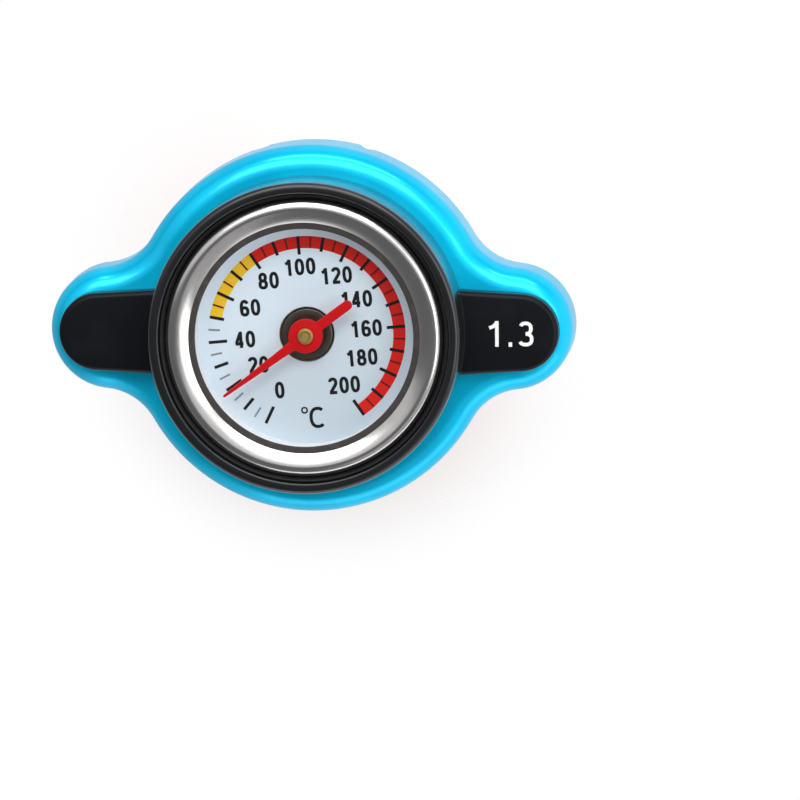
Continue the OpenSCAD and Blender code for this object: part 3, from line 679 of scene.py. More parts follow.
def shell_skin(s):
    """The pressed shell as one skin over a grid of outline by profile.

    The outline is arcs that touch: every point has a centre, a direction and a radius, so that drawing it in
    by an inset moves it along its direction. The profile runs over the top, down the rounded edge and the
    wall, round the rim and back along the inside. Notches lift the rim by a circle or by a vee.
    """
    r, tip = reach("cap_shell"), BOX["cap_shell"][1].x
    wing_x = tip - s.wing_r
    blend_x = ((r + s.blend_r) ** 2 - (s.wing_r + s.blend_r) ** 2 + wing_x**2) / (2 * wing_x)
    blend_y = math.sqrt((r + s.blend_r) ** 2 - blend_x**2)
    main, wing = math.atan2(blend_y, blend_x), math.atan2(blend_y, blend_x - wing_x)
    # Each arc: its centre, its radius, 1 if it bulges outwards or -1, from where, to where, in how many steps
    wing_n, blend_n, main_n = 44, 30, 300
    arcs = [(wing_x, 0, s.wing_r, 1, 0, wing, wing_n),
            (blend_x, blend_y, s.blend_r, -1, HALF + wing, HALF + main, blend_n),
            (0, 0, r, 1, main, HALF - main, main_n),
            (-blend_x, blend_y, s.blend_r, -1, -main, -wing, blend_n),
            (-wing_x, 0, s.wing_r, 1, HALF - wing, HALF, wing_n)]
    half = np.concatenate([
        np.stack(np.broadcast_arrays(*centre, np.linspace(start, stop, n, endpoint=False)), -1)
        for *centre, start, stop, n in arcs])
    full = np.concatenate([half, half * (-1, -1, 1, 1, 1) + (0, 0, 0, 0, HALF)])
    x, y, radius, sign, a = full.T[:, None]
    high, rim, edge, inner = top("cap_shell"), -s.rim, s.edge, s.edge - s.sheet
    q = np.linspace(0, QUARTER, 15)[:, None] + 0 * a
    wall = np.linspace(high - edge, rim + s.rim_round, 7)[1:-1, None] + 0 * a
    bottom = np.linspace(0, QUARTER, 5)[:, None]
    half_tang = s.tang_angle / 2
    # The rim's rounding, left out where a tang runs on from the wall
    soft = s.rim_round * ((np.hypot(x, y) > 0) | (np.abs(np.cos(a)) > math.sin(half_tang)))
    inset = np.concatenate([
        edge * (1 - np.sin(q)), 0 * wall, soft * (1 - np.cos(bottom)),
        s.sheet - soft * (1 - np.sin(bottom)), s.sheet + 0 * wall, edge - inner * np.cos(q)])
    level = np.concatenate([
        high - edge * (1 - np.cos(q)), wall, rim + soft * (1 - np.sin(bottom)),
        rim + soft * (1 - np.cos(bottom)), wall[::-1], high - s.sheet - inner * (1 - np.sin(q))])
    points = around(radius - sign * inset, a, level) + np.stack([x, y, 0 * a], -1)
    # The notches lift what lies below the rounded edge, the rim most
    share = np.clip((high - edge - level) / (high - edge - rim), 0, 1) ** 1.5
    on_main = np.hypot(x, y) < MERGE
    direction = np.arctan2(points[..., 1], points[..., 0])
    for middle in (QUARTER, -QUARTER):
        arc = ((direction - middle + HALF) % TAU - HALF) * r
        circle = np.sqrt(np.clip(s.notch_r**2 - (arc - half_tang * r - s.notch_r / 2) ** 2, 0, None))
        vee = s.vee_depth * np.clip(1 - np.abs(arc + half_tang * r + s.vee_half / 2) / s.vee_half, 0, None)
        points[..., 2] += on_main * share * (circle + vee)
    hole = around(s.hole, direction[:1], high)
    return np.concatenate([hole, points, hole - (0, 0, s.sheet)]), True, True


def tang_skin(s, middle):
    """One bayonet tang: a round-ended slice of sheet carried down the wall, round the bend and along the lip.

    The slice is as wide as the tang, less what the two notches bite out of it at the level of the rim.
    """
    r, low = reach("cap_shell"), foot("cap_shell")
    # It starts inside the wall, a little thinner than the wall
    start, ends = 0.9 * MM - s.rim, (s.sheet - 0.04 * MM) / 2
    mid_r, bend = r - s.sheet / 2, s.tang_bend - s.sheet / 2
    down = np.linspace(start, low + s.tang_bend, 12)
    q = np.linspace(0, QUARTER, 12)[1:]
    lip = np.linspace(r - s.tang_bend, r - s.lip, 5)[1:]
    r_mid = np.concatenate([0 * down + mid_r, mid_r - bend * (1 - np.cos(q)), lip])
    z_mid = np.concatenate([down, low + s.tang_bend - bend * np.sin(q), 0 * lip + low + s.sheet / 2])
    n_r = np.concatenate([1 + 0 * down, np.cos(q), 0 * lip])
    n_z = np.concatenate([0 * down, -np.sin(q), -1 + 0 * lip])
    from_rim, wide = z_mid + s.rim, s.tang_angle / 2 * r
    bite = np.clip(np.sqrt(np.clip(s.notch_r**2 - from_rim**2, 0, None)) - s.notch_r / 2, 0, None)
    vee_bite = s.vee_half / 2 * np.clip(1 - np.abs(from_rim) / s.vee_depth, 0, 1)
    cap, flat = np.linspace(-QUARTER, QUARTER, 9), np.linspace(-1, 1, 33)
    lateral = np.concatenate([flat, 1 + 0 * cap, flat[::-1], -1 + 0 * cap])
    bulge = np.concatenate([0 * flat, np.cos(cap), 0 * flat, -np.cos(cap)])
    offset = np.concatenate([1 + 0 * flat, -np.sin(cap), -1 + 0 * flat, np.sin(cap)]) * ends
    left, right = (wide - vee_bite - ends)[:, None], (wide - bite - ends)[:, None]
    along = np.where(lateral > 0, lateral * right, lateral * left) + bulge * ends
    return capped(around(r_mid[:, None] + offset * n_r[:, None], middle + along / r,
                         z_mid[:, None] + offset * n_z[:, None]))


def pad_skin(h, side):
    """One wing pad: an outline drawn in along its own directions over a rounded edge, with a crowned face."""
    low = top("cap_shell")
    high, half, soft = low + h.pad_t, h.pad_half, h.pad_round
    root, start = reach("gauge_housing") - h.wall / 2, h.pad_tip - half
    straight = np.linspace(root, start, 24, endpoint=False)
    q = np.linspace(QUARTER, -QUARTER, 49)
    x = np.concatenate([straight, 0 * q + start, straight[::-1]])
    way = np.concatenate([0 * straight + QUARTER, q, 0 * straight - QUARTER])
    wide = half + h.pad_flare * np.clip((start - x) / (start - root), 0, 1)
    a, face = np.linspace(0, QUARTER, 10), np.linspace(0, 1, 9)[1:]
    inset = np.concatenate([[half, half / 2, 0, 0], soft * (1 - np.cos(a)), soft + (half - soft) * face])
    inset = inset[:, None]
    crown = h.pad_crown * (1 - (1 - face) ** 2)
    level = np.concatenate([[low, low, low, (low + high) / 2], high - soft * (1 - np.sin(a)), high + crown])
    out = wide - inset - (wide - half) * np.clip(2 * inset / half - 1, 0, 1)
    grid = around(out, way, level[:, None]) + np.stack([x, 0 * x, 0 * x], -1)
    return grid * (side, 1, 1), False, True


def pad_bead(h, side):
    """The thin rounded joint between a pad and the housing: a wire along an arc around the axis."""
    # It lies just outside the housing and stops a little short of the pad's sides
    r, wide = reach("gauge_housing") + 0.06 * MM, (h.pad_half + h.pad_flare) * 0.93
    a = np.linspace(-1, 1, 40) * math.asin(wide / r)
    return wire(around(r, a, top("cap_shell") + h.pad_t) * (side, 1, 1), 0.16 * MM, 10)


def sector(r_in, r_out, start, stop, low, high, steps):
    """A flat arc-shaped strip: a box section carried round the axis from start to stop, with lids."""
    a = np.linspace(start, stop, steps)[:, None]
    return capped(around(np.array([r_in, r_out, r_out, r_in]), a, np.array([low, low, high, high])))


def ribbon(line, half, low, high):
    """A flat stroke: a box section carried along a flat line, closed to a ring or with lids."""
    ring = np.allclose(line[0], line[-1])
    if ring:
        line = line[:-1]
        step = np.roll(line, -1, 0) - np.roll(line, 1, 0)
    else:
        step = np.gradient(line, axis=0)
    side = unit(np.stack([-step[:, 1], step[:, 0]], -1))
    corners = line[:, None] + half * np.array([1, -1, -1, 1])[:, None] * side[:, None]
    level = np.broadcast_to(np.array([low, low, high, high])[:, None], (len(line), 4, 1))
    grid = np.concatenate([corners, level], -1)
    return [(grid, True, True)] if ring else capped(grid)


def pointer_skin(g):
    """The pointer as one plate: its half width is the widest of hub, needle and tail, softly joined.

    Along the length x the hub gives the root of hub^2 - x^2, the needle a straight taper and the tail a
    constant, each rounded off at its end by a quarter oval. Hub and arm join as the root of a sum of fifth
    powers. Across, the upper edges are rounded.
    """
    low, high = foot("pointer"), top("pointer")
    tail_end, tip_end, edge, power = 0.6 * MM, 0.25 * MM, 0.13 * MM, 5

    def blunt(past, length):
        return np.sqrt(np.clip(1 - (np.clip(past, 0, None) / length) ** 2, 0, 1))

    x = np.unique(np.concatenate([
        -g.tail + tail_end * (1 - np.cos(np.linspace(0, QUARTER, 14))),
        np.linspace(-g.tail + tail_end, g.needle - tip_end, 200)[1:],
        g.needle - tip_end * np.cos(np.linspace(0, QUARTER, 10))[::-1]]))
    hub = np.sqrt(np.clip(g.hub**2 - x * x, 0, None))
    taper = g.needle_root + (g.needle_end - g.needle_root) * np.clip(x / g.needle, 0, 1)
    arm = np.where(x > 0, taper * blunt(x - g.needle + tip_end, tip_end),
                   g.tail_half * blunt(-x - g.tail + tail_end, tail_end))
    half = (hub**power + arm**power) ** (1 / power)
    soft = np.minimum(edge, half * 0.8)[:, None]
    # Round the section: the two upper edges, then the two lower corners
    a = np.linspace(0, QUARTER, 6)
    inner = np.concatenate([-1 + 0 * a, 1 + 0 * a, [1, -1]])
    lateral = np.concatenate([-np.cos(a), np.cos(a[::-1]), [1, -1]])
    rise = np.concatenate([np.sin(a) - 1, np.sin(a[::-1]) - 1, [0, 0]])
    y = inner * (half[:, None] - soft) + lateral * soft
    z = np.where(np.arange(len(rise)) < 2 * len(a), high + rise * soft, low)
    c, s = math.cos(g.rest), math.sin(g.rest)
    return capped(np.stack([x[:, None] * c - y * s, x[:, None] * s + y * c, z], -1))


def bow(x, y, wide, tall, start=0, stop=360):
    """Points of a squarish oval's arc from start to stop in degrees: cosine and sine to the power 0.85."""
    a = np.radians(np.linspace(start, stop, 33))
    c, s = (np.sign(v) * np.abs(v) ** 0.85 for v in (np.cos(a), np.sin(a)))
    return np.stack([x + wide * c, y + tall * s], -1)


def run(*corners):
    """Points of a straight or bent pen stroke."""
    return np.array(corners, float)


# Middle lines of the pen strokes of each sign, one high and centred on zero
STROKES = {
    "0": [bow(0, 0.5, 0.19, 0.415)],
    "1": [run((0.07, 0), (0.07, 1)), run((0.06, 0.93), (-0.04, 0.79), (-0.17, 0.73))],
    "2": [np.concatenate([bow(0, 0.7, 0.185, 0.215, 170, -32), run((-0.15, 0.12))]),
          run((-0.23, 0.085), (0.225, 0.085))],
    "3": [bow(-0.01, 0.71, 0.165, 0.205, 155, -90), bow(-0.01, 0.292, 0.19, 0.207, 90, -155)],
    "4": [run((0.1, 0), (0.1, 1)), run((0.08, 0.92), (-0.19, 0.29)), run((-0.25, 0.265), (0.235, 0.265))],
    "6": [bow(0.01, 0.305, 0.185, 0.22),
          np.concatenate([run((-0.18, 0.32)), bow(0.02, 0.5, 0.2, 0.415, 170, 35)])],
    "8": [bow(0, 0.715, 0.16, 0.2), bow(0, 0.295, 0.19, 0.21)],
    "C": [bow(0, 0.5, 0.31, 0.415, 48, 312)],
    "°": [bow(0, 0.86, 0.12, 0.12)],
    ".": [run((0, 0), (0, 0.17))],
}
# Room that a sign takes in its line, where it isn't that of a digit
ROOM = {".": 0.3, "°": 0.5, "C": 0.76}
DIGIT_ROOM = 0.68


def lettering(name, labels, ink, low, high, turn):
    """Numbers as pen strokes: each label is scaled to its height and width, turned and centred on its place.

    Each further stroke of a sign lies half a hair higher, so that no two faces share a plane.
    """
    c, s = math.cos(turn), math.sin(turn)
    skins = []
    for text, x, y, tall, wide, pen in labels:
        room = np.array([ROOM.get(sign, DIGIT_ROOM) for sign in text])
        places = np.cumsum(room) - room / 2 - room.sum() / 2
        for sign, place in zip(text, places):
            for i, line in enumerate(STROKES[sign]):
                flat = (line + (place, -0.5)) * (tall * wide, tall) @ np.array([[c, s], [-s, c]]) + (x, y)
                skins += ribbon(flat, pen / 2, low, high + i * HAIR / 2)
    piece(name, "cap", skins, ink, ())


class CAP_OT_stage(Operator):
    """Camera at the photograph's angle, pale floor, soft lights and a bright surround."""

    bl_idname = "cap.stage"
    bl_label = "Stage"

    def execute(self, context):
        scene = context.scene
        scene.view_settings.view_transform = "Standard"
        self.camera(scene)
        self.floor(scene)
        self.lights(scene)
        self.surround(scene)
        return {"FINISHED"}

    def camera(self, scene):
        """It stands up and to the right of the axis, and the cap's middle lies up and left of the frame's."""
        lean, upright = Vector((0.093, 0.117, 1)), Vector((0.007, 1, 0))
        away, sensor, pixel = 1.8, 36, MM / SCALE
        middle = Vector((0, 0, -2.2 * MM))
        back = lean.normalized()
        right = upright.cross(back).normalized()
        place = middle + back * away
        left_by, above_by = ((FRAME / 2 - at) * pixel for at in MIDDLE)
        aim = middle + right * left_by - back.cross(right) * above_by
        back = (place - aim).normalized()
        right = upright.cross(back).normalized()
        turn = Matrix((right, back.cross(right), back)).transposed()
        data = bpy.data.cameras.new("camera")
        data.sensor_width, data.lens = sensor, sensor * (place - aim).length / (FRAME * pixel)
        data.clip_start, data.clip_end = 0.01, 20
        camera = bpy.data.objects.new("camera", data)
        camera.matrix_world = Matrix.Translation(place) @ turn.to_4x4()
        scene.collection.objects.link(camera)
        scene.camera = camera

    def floor(self, scene):
        """A flat round floor just under the probe's tip that fades into the surround beside the cap."""
        spread, fade_start, fade_end = 60 * MM, 18 * MM, 38 * MM
        r = np.linspace(0, spread, 20)
        grid, *wraps = turned(np.stack([r, 0 * r + foot("probe_tube") - HAIR], -1), False, 96)
        mesh = bpy.data.meshes.new("floor")
        mesh.from_pydata(grid.reshape(-1, 3).tolist(), [], woven(grid, *wraps).tolist())
        f = Finish("floor", Roughness=0.6, Emission_Color=(1.0, 0.97, 0.96), Emission_Strength=0.36)
        f["Base Color"] = f.mixed(f.noise(40 * MM, 2), (0.64, 0.615, 0.605), (0.66, 0.635, 0.625))
        f.show(f.radius().ramp(fade_start, fade_end), Value(f, f.shader.outputs[0]),
               f.node("ShaderNodeBsdfTransparent"))
        mesh.materials.append(f.material)
        floor = bpy.data.objects.new("floor", mesh)
        scene.collection.objects.link(floor)

    def lights(self, scene):
        """Five soft boxes turned to the cap. Each has a place, a width and height, a power and a colour."""
        boxes = [("key_box", (0.0, 0.46, 0.56), 0.80, 0.34, 2.8, (1, 1, 1)),
                 ("right_box", (0.46, 0.02, 0.51), 0.50, 0.26, 1.2, (1, 0.99, 0.97)),
                 ("top_box", (0.05, 0.64, 0.26), 0.60, 0.12, 1.2, (0.98, 0.99, 1)),
                 ("low_box", (0.20, -0.62, 0.20), 1.00, 0.34, 1.0, (1, 1, 1)),
                 ("side_box", (0.30, -0.42, 0.60), 0.50, 0.50, 0.25, (1, 1, 1))]
        for name, place, wide, tall, power, colour in boxes:
            data = bpy.data.lights.new(name, "AREA")
            data.shape, data.size, data.size_y = "RECTANGLE", wide, tall
            data.energy, data.color = power, colour
            lamp = bpy.data.objects.new(name, data)
            lamp.location = place
            lamp.rotation_euler = Vector(place).to_track_quat("Z", "Y").to_euler()
            lamp.visible_camera = False
            scene.collection.objects.link(lamp)

    def surround(self, scene):
        """A dark room, pale beyond the dial's top, low down and underneath. The camera sees it as white."""
        world = bpy.data.worlds.new("surround")
        world.use_nodes = True
        w = Nodes(world.node_tree)
        seen = w.node("ShaderNodeLightPath", out="Is Camera Ray")
        way = w.node("ShaderNodeTexCoord", out="Generated")
        x, y, z = (w.node("ShaderNodeSeparateXYZ", None, {0: way}, out=axis) for axis in "XYZ")
        wall = (0.1 * x + 0.97 * y).ramp(-0.02, 0.15) * z.ramp(0.12, 0.4) * 0.75
        low = (1 - z.ramp(0.3, 0.6)) * (0.1 + 0.9 * (x - y).ramp(-0.1, 0.7))
        ground = (0.5 + 0.35 * x.ramp(-0.6, 0.3)) * (0 - z).ramp(0.0, 0.2)
        pale = z.maths("MAXIMUM", z.maths("MAXIMUM", wall, low), ground)
        room = w.mixed(pale, (0.16, 0.16, 0.165), (0.95, 0.95, 0.95))
        glow, plain = (w.node("ShaderNodeBackground", None, {"Color": colour, "Strength": 1.0})
                       for colour in (room, (1, 1, 1)))
        w.show(seen, glow, plain, "World Output")
        scene.world = world


class CAP_OT_shell(Operator):
    """The pressed blue shell with its wings, bayonet tangs and notches."""

    bl_idname = "cap.shell"
    bl_label = "Shell"

    def execute(self, context):
        look = context.scene.cap_look
        skins = [shell_skin(look.shell), *tang_skin(look.shell, QUARTER), *tang_skin(look.shell, -QUARTER)]
        piece("shell", "cap", skins, blue_paint(look.colours, look.shell.rim), ["cap_shell"])
        return {"FINISHED"}


class CAP_OT_housing(Operator):
    """The black housing with its wing pads, pegs and rubber sleeve, and the number on the right pad."""

    bl_idname = "cap.housing"
    bl_label = "Housing"

    def execute(self, context):
        look = context.scene.cap_look
        h, colours = look.housing, look.colours
        low, high, r = top("cap_shell"), top("gauge_housing"), reach("gauge_housing")
        inside, floor = r - h.wall, low + h.floor
        cup = section((h.bore, low), (r, low), (r, high, h.shoulder), (inside, high, h.inner_round),
                      (inside, floor), (h.bore, floor))
        under, peg_x = low - look.shell.sheet, h.pad_tip - h.pad_half
        end = under - h.peg_head_h
        head = section((0, under), (h.peg_head_r, under), (h.peg_head_r, end, 0.5 * MM), (0, end))
        peg, *wraps = turned(head, steps=48)
        skins = [turned(cup)]
        for side in (1, -1):
            skins += [pad_skin(h, side), *pad_bead(h, side), (peg + (side * peg_x, 0, 0), *wraps)]
        piece("housing", "cap", skins, black_plastic(colours), ["gauge_housing"])
        # The sleeve's face falls from the housing towards the bezel
        low, high, _ = span("gauge_sleeve")
        r, bore, fall, soft = inside - 0.03 * MM, reach("bezel") + PLAY, 0.9 * MM, 0.3 * MM
        sleeve = section((bore, low), (r, low), (r, high, soft), (bore, high - fall, soft))
        spun("sleeve", "cap", sleeve, sleeve_rubber(colours), "gauge_sleeve")
        # The number starts inside the pad's crowned face and ends just above it
        start, thick, x, y = 0.06 * MM, 0.1 * MM, 26.35 * MM, -0.05 * MM
        level = top("cap_shell") + h.pad_t + start
        number = ("1.3", x, y, h.rating, h.rating_wide, h.rating_pen)
        lettering("rating_number", [number], white_print(), level, level + thick, 0)
        return {"FINISHED"}


class CAP_OT_gauge(Operator):
    """The gauge's bezel, gasket, window, spacer, dial plate and dark bush."""

    bl_idname = "cap.gauge"
    bl_label = "Gauge"

    def execute(self, context):
        look = context.scene.cap_look
        g, colours = look.gauge, look.colours
        self.bezel(g, colours)
        low, high, r = span("lens")
        window = section((0, low), (r, low, 0.1 * MM), (r, high, 0.1 * MM), (0, high))
        spun("window", "cap", window, clear_glass(), "lens")
        rings = [("spacer_ring", "lens_spacer", g.window + PLAY, printed("white_plastic", colours.spacer),
                  "spacer_plastic"),
                 ("dial", "dial_plate", g.dial_hole, dial_paint(colours), "dial_paint")]
        for name, node, bore, finish, slot in rings:
            low, high, r = span(node)
            ring = section((bore, low), (r, low), (r, high), (bore, high, 0.15 * MM))
            spun(name, "cap", ring, finish, node)
        # The bush has a raised land round its outside, which slopes down to its face
        low, high, r = span("spindle_bush")
        bore, land, foot_of_land, face = r - 2.85 * MM, r - 0.9 * MM, r - 1.2 * MM, high - 0.35 * MM
        bush = section((bore, low), (r, low), (r, high, 0.25 * MM), (land, high, 0.2 * MM),
                       (foot_of_land, face, 0.2 * MM), (bore, face))
        bronze = turned_metal("dark_bronze", colours.bronze, shade(colours.bronze, 0.3), 0.3)
        spun("dial_bush", "cap", bush, bronze, "spindle_bush")
        return {"FINISHED"}

    def bezel(self, g, colours):
        """Bezel and gasket. The face is two touching arcs, a tight one over the bead and a wide one."""
        low, high, r = span("bezel")
        bead, slope = np.linspace(-QUARTER, g.bead_end, 40), np.linspace(g.bead_end, g.slope_end, 16)[1:]
        lean = np.concatenate([bead, slope])
        radius = np.concatenate([0 * bead + g.bead, 0 * slope + g.slope])[:, None]
        shift = (g.bead - radius) * (-math.sin(g.bead_end), math.cos(g.bead_end))
        face = (r - g.bead, high - g.bead) + shift + radius * np.stack([-np.sin(lean), np.cos(lean)], -1)
        over, inside = top("lens") + HAIR, r - g.skirt
        back = np.array([[face[-1, 0], over], [inside, over], [inside, low], [r, low]])
        steel = spun_steel("polished_steel", colours.steel, 0.13)
        spun("bezel_ring", "cap", np.concatenate([face, back]), steel, "bezel", FINE_TURN)
        # The gasket reaches a little under the bezel's edge and is lower at the window
        edge, lower = face[-1, 0] + 0.06 * MM, 0.7
        gasket = section((g.window, over), (edge, over), (edge, over + g.gasket, 0.05 * MM),
                         (g.window, over + g.gasket * lower, 0.08 * MM))
        piece("window_gasket", "cap", [turned(gasket, steps=FINE_TURN)], gasket_rubber(colours), ())


class CAP_OT_print(Operator):
    """The dial's print: coloured bands, marks and numbers, each a thin layer of ink on the plate."""

    bl_idname = "cap.print"
    bl_label = "Dial print"

    def execute(self, context):
        look = context.scene.cap_look
        g, colours = look.gauge, look.colours
        low = top("dial_plate")
        high, over = low + g.ink, low + 1.6 * g.ink

        def at(value):
            return g.start - g.sweep * value / DIAL_TOP

        safe, hot = 50, 80
        bands = (("yellow", safe, hot, colours.yellow), ("red", hot, DIAL_TOP, colours.red))
        for name, start, stop, colour in bands:
            strip = sector(g.band_in, g.band_out, at(start), at(stop), low, high, stop - start + 1)
            piece(name + "_band", "cap", strip, printed("ink_" + name, colour), ())
        # A mark every 5: long at the twenties, shorter at the tens, and fine between, dark red on the bands
        long_in, short_in, fine_in = 10.45 * MM, 10.95 * MM, g.band_in + 0.1 * MM
        marks = {"scale_marks": [], "fine_marks": [], "band_marks": []}
        for value in range(0, DIAL_TOP + 1, 5):
            if value % 10 == 0:
                name, r_in, half = "scale_marks", short_in if value % 20 else long_in, 0.2 * MM
            else:
                name, r_in, half = "band_marks" if value > safe else "fine_marks", fine_in, 0.12 * MM
            way = np.array([math.cos(at(value)), math.sin(at(value))])
            marks[name] += ribbon(np.array([r_in * way, g.band_out * way]), half, low, over)
        black = printed("ink_black", colours.ink)
        inks = (black, printed("ink_grey", colours.fine_ink), printed("ink_dark_red", colours.fine_red))
        for (name, skins), ink in zip(marks.items(), inks):
            piece(name, "cap", skins, ink, ())
        labels = [(text, x * MM, y * MM, g.digit, 1, g.pen) for text, (x, y) in NUMBER_PLACES.items()]
        labels += [("C", 1.35 * MM, -10.85 * MM, g.letter, 1, g.pen),
                   ("°", -0.3 * MM, -10.95 * MM, g.letter, 1, g.pen / 2)]
        lettering("scale_numbers", labels, black, low, over, g.tilt)
        return {"FINISHED"}


class CAP_OT_pointer(Operator):
    """The red pointer and its brass pin."""

    bl_idname = "cap.pointer"
    bl_label = "Pointer"

    def execute(self, context):
        look = context.scene.cap_look
        colours = look.colours
        piece("needle", "pointer", pointer_skin(look.gauge), pointer_paint(colours), ["pointer"])
        low, high, r = span("pointer_pin")
        bore, rim, sunk = 0.5 * MM, 0.1 * MM, 0.12 * MM
        pin = section((bore, low), (r, low), (r, high, 0.3 * MM), (bore + rim, high, 0.08 * MM),
                      (bore, high - sunk))
        brass = turned_metal("pin_brass", shade(colours.brass, 0.62), shade(colours.brass, 0.25), 0.36)
        spun("needle_pin", "pointer", pin, brass, "pointer_pin", 64)
        return {"FINISHED"}


class CAP_OT_valve(Operator):
    """The seals, the steel disc, cup and guide, and the brass eyelet and vacuum valve."""

    bl_idname = "cap.valve"
    bl_label = "Valve"

    def execute(self, context):
        look = context.scene.cap_look
        v, colours = look.valve, look.colours
        rubber, sheet = red_rubber(colours), worn_and_shaded_sheet(colours)
        brass = turned_metal("valve_brass", colours.brass, shade(colours.brass, 0.62), 0.25)
        self.upper_seal(look.shell.hole, rubber, sheet)
        self.guide(v, sheet)
        self.cup(v, sheet)
        self.pressure_seal(v, rubber, brass)
        self.vacuum_valve(v, brass)
        return {"FINISHED"}

    def upper_seal(self, hole, rubber, sheet):
        """The red ring, hollowed out for the steel disc that lies in it."""
        low, high, r = span("upper_seal")
        disc_low, disc_top, disc_r = span("seal_disc")
        seat = disc_r + PLAY
        ring = section((hole, high), (r, high, 0.3 * MM), (r, low, 0.45 * MM), (seat, low, 0.25 * MM),
                       (seat, disc_top), (hole, disc_top))
        spun("upper_ring", "cap", ring, rubber, "upper_seal")
        disc = section((hole, disc_top), (disc_r, disc_top), (disc_r, disc_low, 0.25 * MM), (hole, disc_low))
        spun("steel_disc", "cap", disc, sheet, "seal_disc")

    def guide(self, v, sheet):
        """The guide tube with its clamping flange, wider inside where the stem is screwed in."""
        end, high, flange_r = span("valve_guide")
        face = foot("seal_disc")
        flange, bore, screw_r, screw_end = face - v.guide_flange, v.bore + HAIR * 5, 3.25 * MM, -4.05 * MM
        guide = section((bore, end), (v.guide_r, end, 0.2 * MM), (v.guide_r, flange),
                        (flange_r, flange, 0.3 * MM), (flange_r, face), (v.guide_r, face), (v.guide_r, high),
                        (screw_r, high), (screw_r, screw_end), (bore, screw_end))
        spun("guide_tube", "cap", guide, sheet, "valve_guide")

    def cup(self, v, sheet):
        """The pressed cup: a rolled rim, a skirt and a hub in the middle."""
        under, hub, r = span("valve_cup")
        plate, skirt, side = under + v.cup_sheet, under + v.cup_skirt, r - v.cup_step
        inside, rim, rim_end = side - v.cup_sheet, under + 0.85 * MM, under + 1.05 * MM
        cup = section((v.hub_bore, under), (r, under, 0.3 * MM), (r, rim, 0.35 * MM),
                      (side, rim_end, 0.15 * MM), (side, skirt, 0.25 * MM), (inside, skirt, 0.2 * MM),
                      (inside, plate, 0.5 * MM), (v.hub_r, plate, 0.4 * MM), (v.hub_r, hub, 0.2 * MM),
                      (v.hub_bore, hub, 0.15 * MM))
        spun("cup", "pressure_valve", cup, sheet, "valve_cup")

    def pressure_seal(self, v, rubber, brass):
        """The red seal with its flange and collar, and the brass eyelet that holds it."""
        low, high, r = span("pressure_seal")
        seat, outside = -14 * MM, v.eyelet_r + v.eyelet_wall
        bore = outside + PLAY
        seal = section((bore, high), (r, high, 0.25 * MM), (r, seat, v.flange_round),
                       (v.collar_r, seat, v.collar_fillet), (v.collar_r, low, 0.75 * MM), (bore, low))
        spun("pressure_ring", "pressure_valve", seal, rubber, "pressure_seal")
        rim = low
        low, high, r = span("seal_eyelet")
        eyelet = section((v.eyelet_r, high), (outside, high), (outside, rim), (r, rim, 0.2 * MM),
                         (r, low, 0.3 * MM), (v.eyelet_r, low, 0.35 * MM))
        spun("eyelet", "pressure_valve", eyelet, brass, "seal_eyelet")

    def vacuum_valve(self, v, brass):
        """Stem, dished disc, cone and stepped neck. The cone's side bulges by its swell times a half wave."""
        low, high, _ = span("vacuum_valve")
        cone_low, cone_top = low + v.neck_h, low + v.neck_h + v.cone_h
        land, dish, dish_r, stem = cone_top + 1.4 * MM, cone_top + 0.7 * MM, 5.55 * MM, v.bore + 0.45 * MM
        upper = np.array([[v.bore, high], [stem, high], [stem, dish], [dish_r, dish], [dish_r, land],
                          [v.cone_r, land]])
        t = np.linspace(0, 1, 28)
        side = np.stack([v.cone_r + (v.cone_end - v.cone_r) * t + v.cone_swell * np.sin(HALF * t),
                         cone_top - v.cone_h * t], -1)
        step_r = v.neck_r + 0.2 * MM
        neck = section((step_r, cone_low - 0.02 * MM), (step_r, cone_low - 0.45 * MM, 0.12 * MM),
                       (v.neck_r, cone_low - 0.55 * MM, 0.08 * MM), (v.neck_r, low, 0.15 * MM), (v.bore, low))
        outline = np.concatenate([upper, side, neck])
        spun("brass_valve", "vacuum_valve", outline, brass, "vacuum_valve")


class CAP_OT_springs(Operator):
    """The pressure spring, the vacuum spring and the bimetal coil, each one round wire."""

    bl_idname = "cap.springs"
    bl_label = "Springs"

    def execute(self, context):
        look = context.scene.cap_look
        v, colours = look.valve, look.colours
        spring = coil("coil_spring", "spring", "pressure_spring", spring_black(colours),
                      9.9 * MM, v.wire / 2, v.turns, 64, v.wire_sides, 0.98)
        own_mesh(spring)
        small = coil("small_spring", "pressure_valve", "vacuum_spring",
                     spun_steel("spring_steel", colours.steel, 0.26), 3.375 * MM, 0.175 * MM, 2)
        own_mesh(small)
        strip = turned_metal("bimetal", colours.copper, shade(colours.copper, 0.5), 0.3)
        coil("coil_strip", "cap", "bimetal_coil", strip, 1.55 * MM, 0.25 * MM, 12)
        return {"FINISHED"}


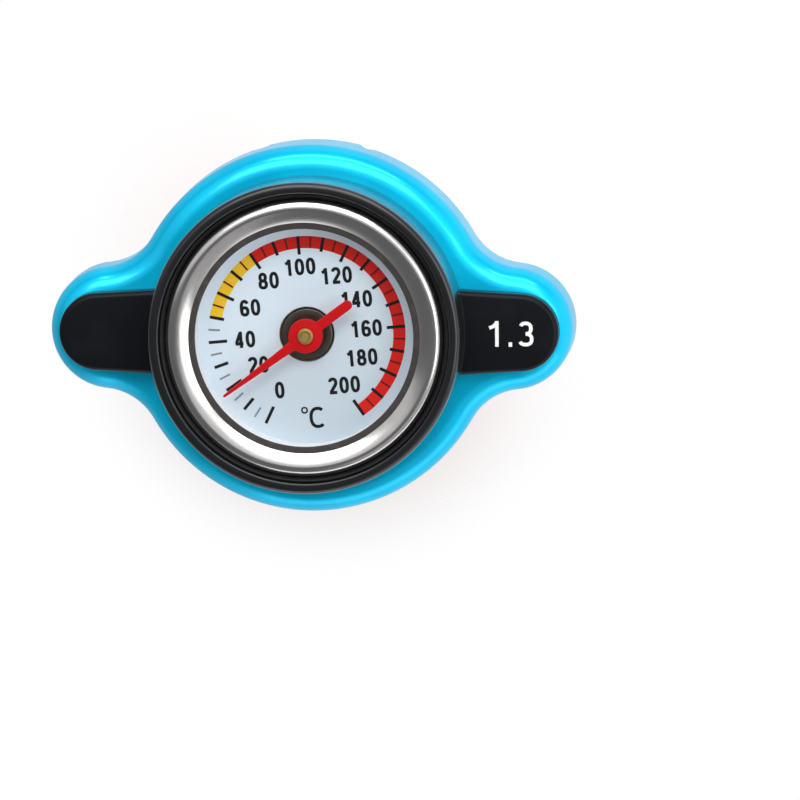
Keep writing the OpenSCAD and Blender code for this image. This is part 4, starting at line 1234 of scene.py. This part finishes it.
class CAP_OT_probe(Operator):
    """The copper probe with its rounded tip."""

    bl_idname = "cap.probe"
    bl_label = "Probe"

    def execute(self, context):
        look = context.scene.cap_look
        low, high, r = span("probe_tube")
        inside, floor = r - 0.4 * MM, low + 1 * MM
        tube = section((0, low), (r, low, look.valve.tip_round), (r, high), (inside, high), (inside, floor),
                       (0, floor))
        copper = turned_metal("probe_copper", look.colours.copper, shade(look.colours.copper, 0.62), 0.24)
        spun("probe", "cap", tube, copper, "probe_tube", 96)
        return {"FINISHED"}


class CAP_OT_inner(Operator):
    """Finishes for the solids that stay as they are inside the gauge and the valve."""

    bl_idname = "cap.inner"
    bl_label = "Inner pieces"

    def execute(self, context):
        colours = context.scene.cap_look.colours
        brass = turned_metal("inner_brass", colours.brass, shade(colours.brass, 0.6), 0.26)
        steel = spun_steel("inner_steel", colours.sheet_steel, 0.28)
        finishes = {
            brass: ("stem_fitting", "stem_bush", "coil_anchor", "vacuum_seat", "vacuum_spring_cap",
                    "spindle"),
            steel: ("gauge_case", "dial_support", "retaining_ring"),
            sleeve_rubber(colours): ("vacuum_seal",),
        }
        for finish, names in finishes.items():
            for name in names:
                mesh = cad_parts[name].data
                mesh.materials.clear()
                mesh.materials.append(finish)
        return {"FINISHED"}


class CAP_PT_panel(Panel):
    """Lists the pieces in the order in which they are made."""

    bl_idname = "CAP_PT_panel"
    bl_label = "Radiator cap thermometer"
    bl_space_type, bl_region_type, bl_category = "VIEW_3D", "UI", "Cap"

    def draw(self, context):
        for operator in OPERATORS:
            self.layout.operator(operator.bl_idname)


OPERATORS = (CAP_OT_stage, CAP_OT_shell, CAP_OT_housing, CAP_OT_gauge, CAP_OT_print, CAP_OT_pointer,
             CAP_OT_valve, CAP_OT_springs, CAP_OT_probe, CAP_OT_inner)
CLASSES = (ShellSizes, HousingSizes, GaugeSizes, ValveSizes, Colours, CapLook, *OPERATORS, CAP_PT_panel)


def register():
    for made in CLASSES:
        bpy.utils.register_class(made)
    bpy.types.Scene.cap_look = PointerProperty(type=CapLook)


def unregister():
    del bpy.types.Scene.cap_look
    for made in reversed(CLASSES):
        bpy.utils.unregister_class(made)


def main():
    register()
    for operator in OPERATORS:
        getattr(bpy.ops.cap, operator.bl_idname.split(".")[1])()
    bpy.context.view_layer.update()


if __name__ == "__main__":
    main()
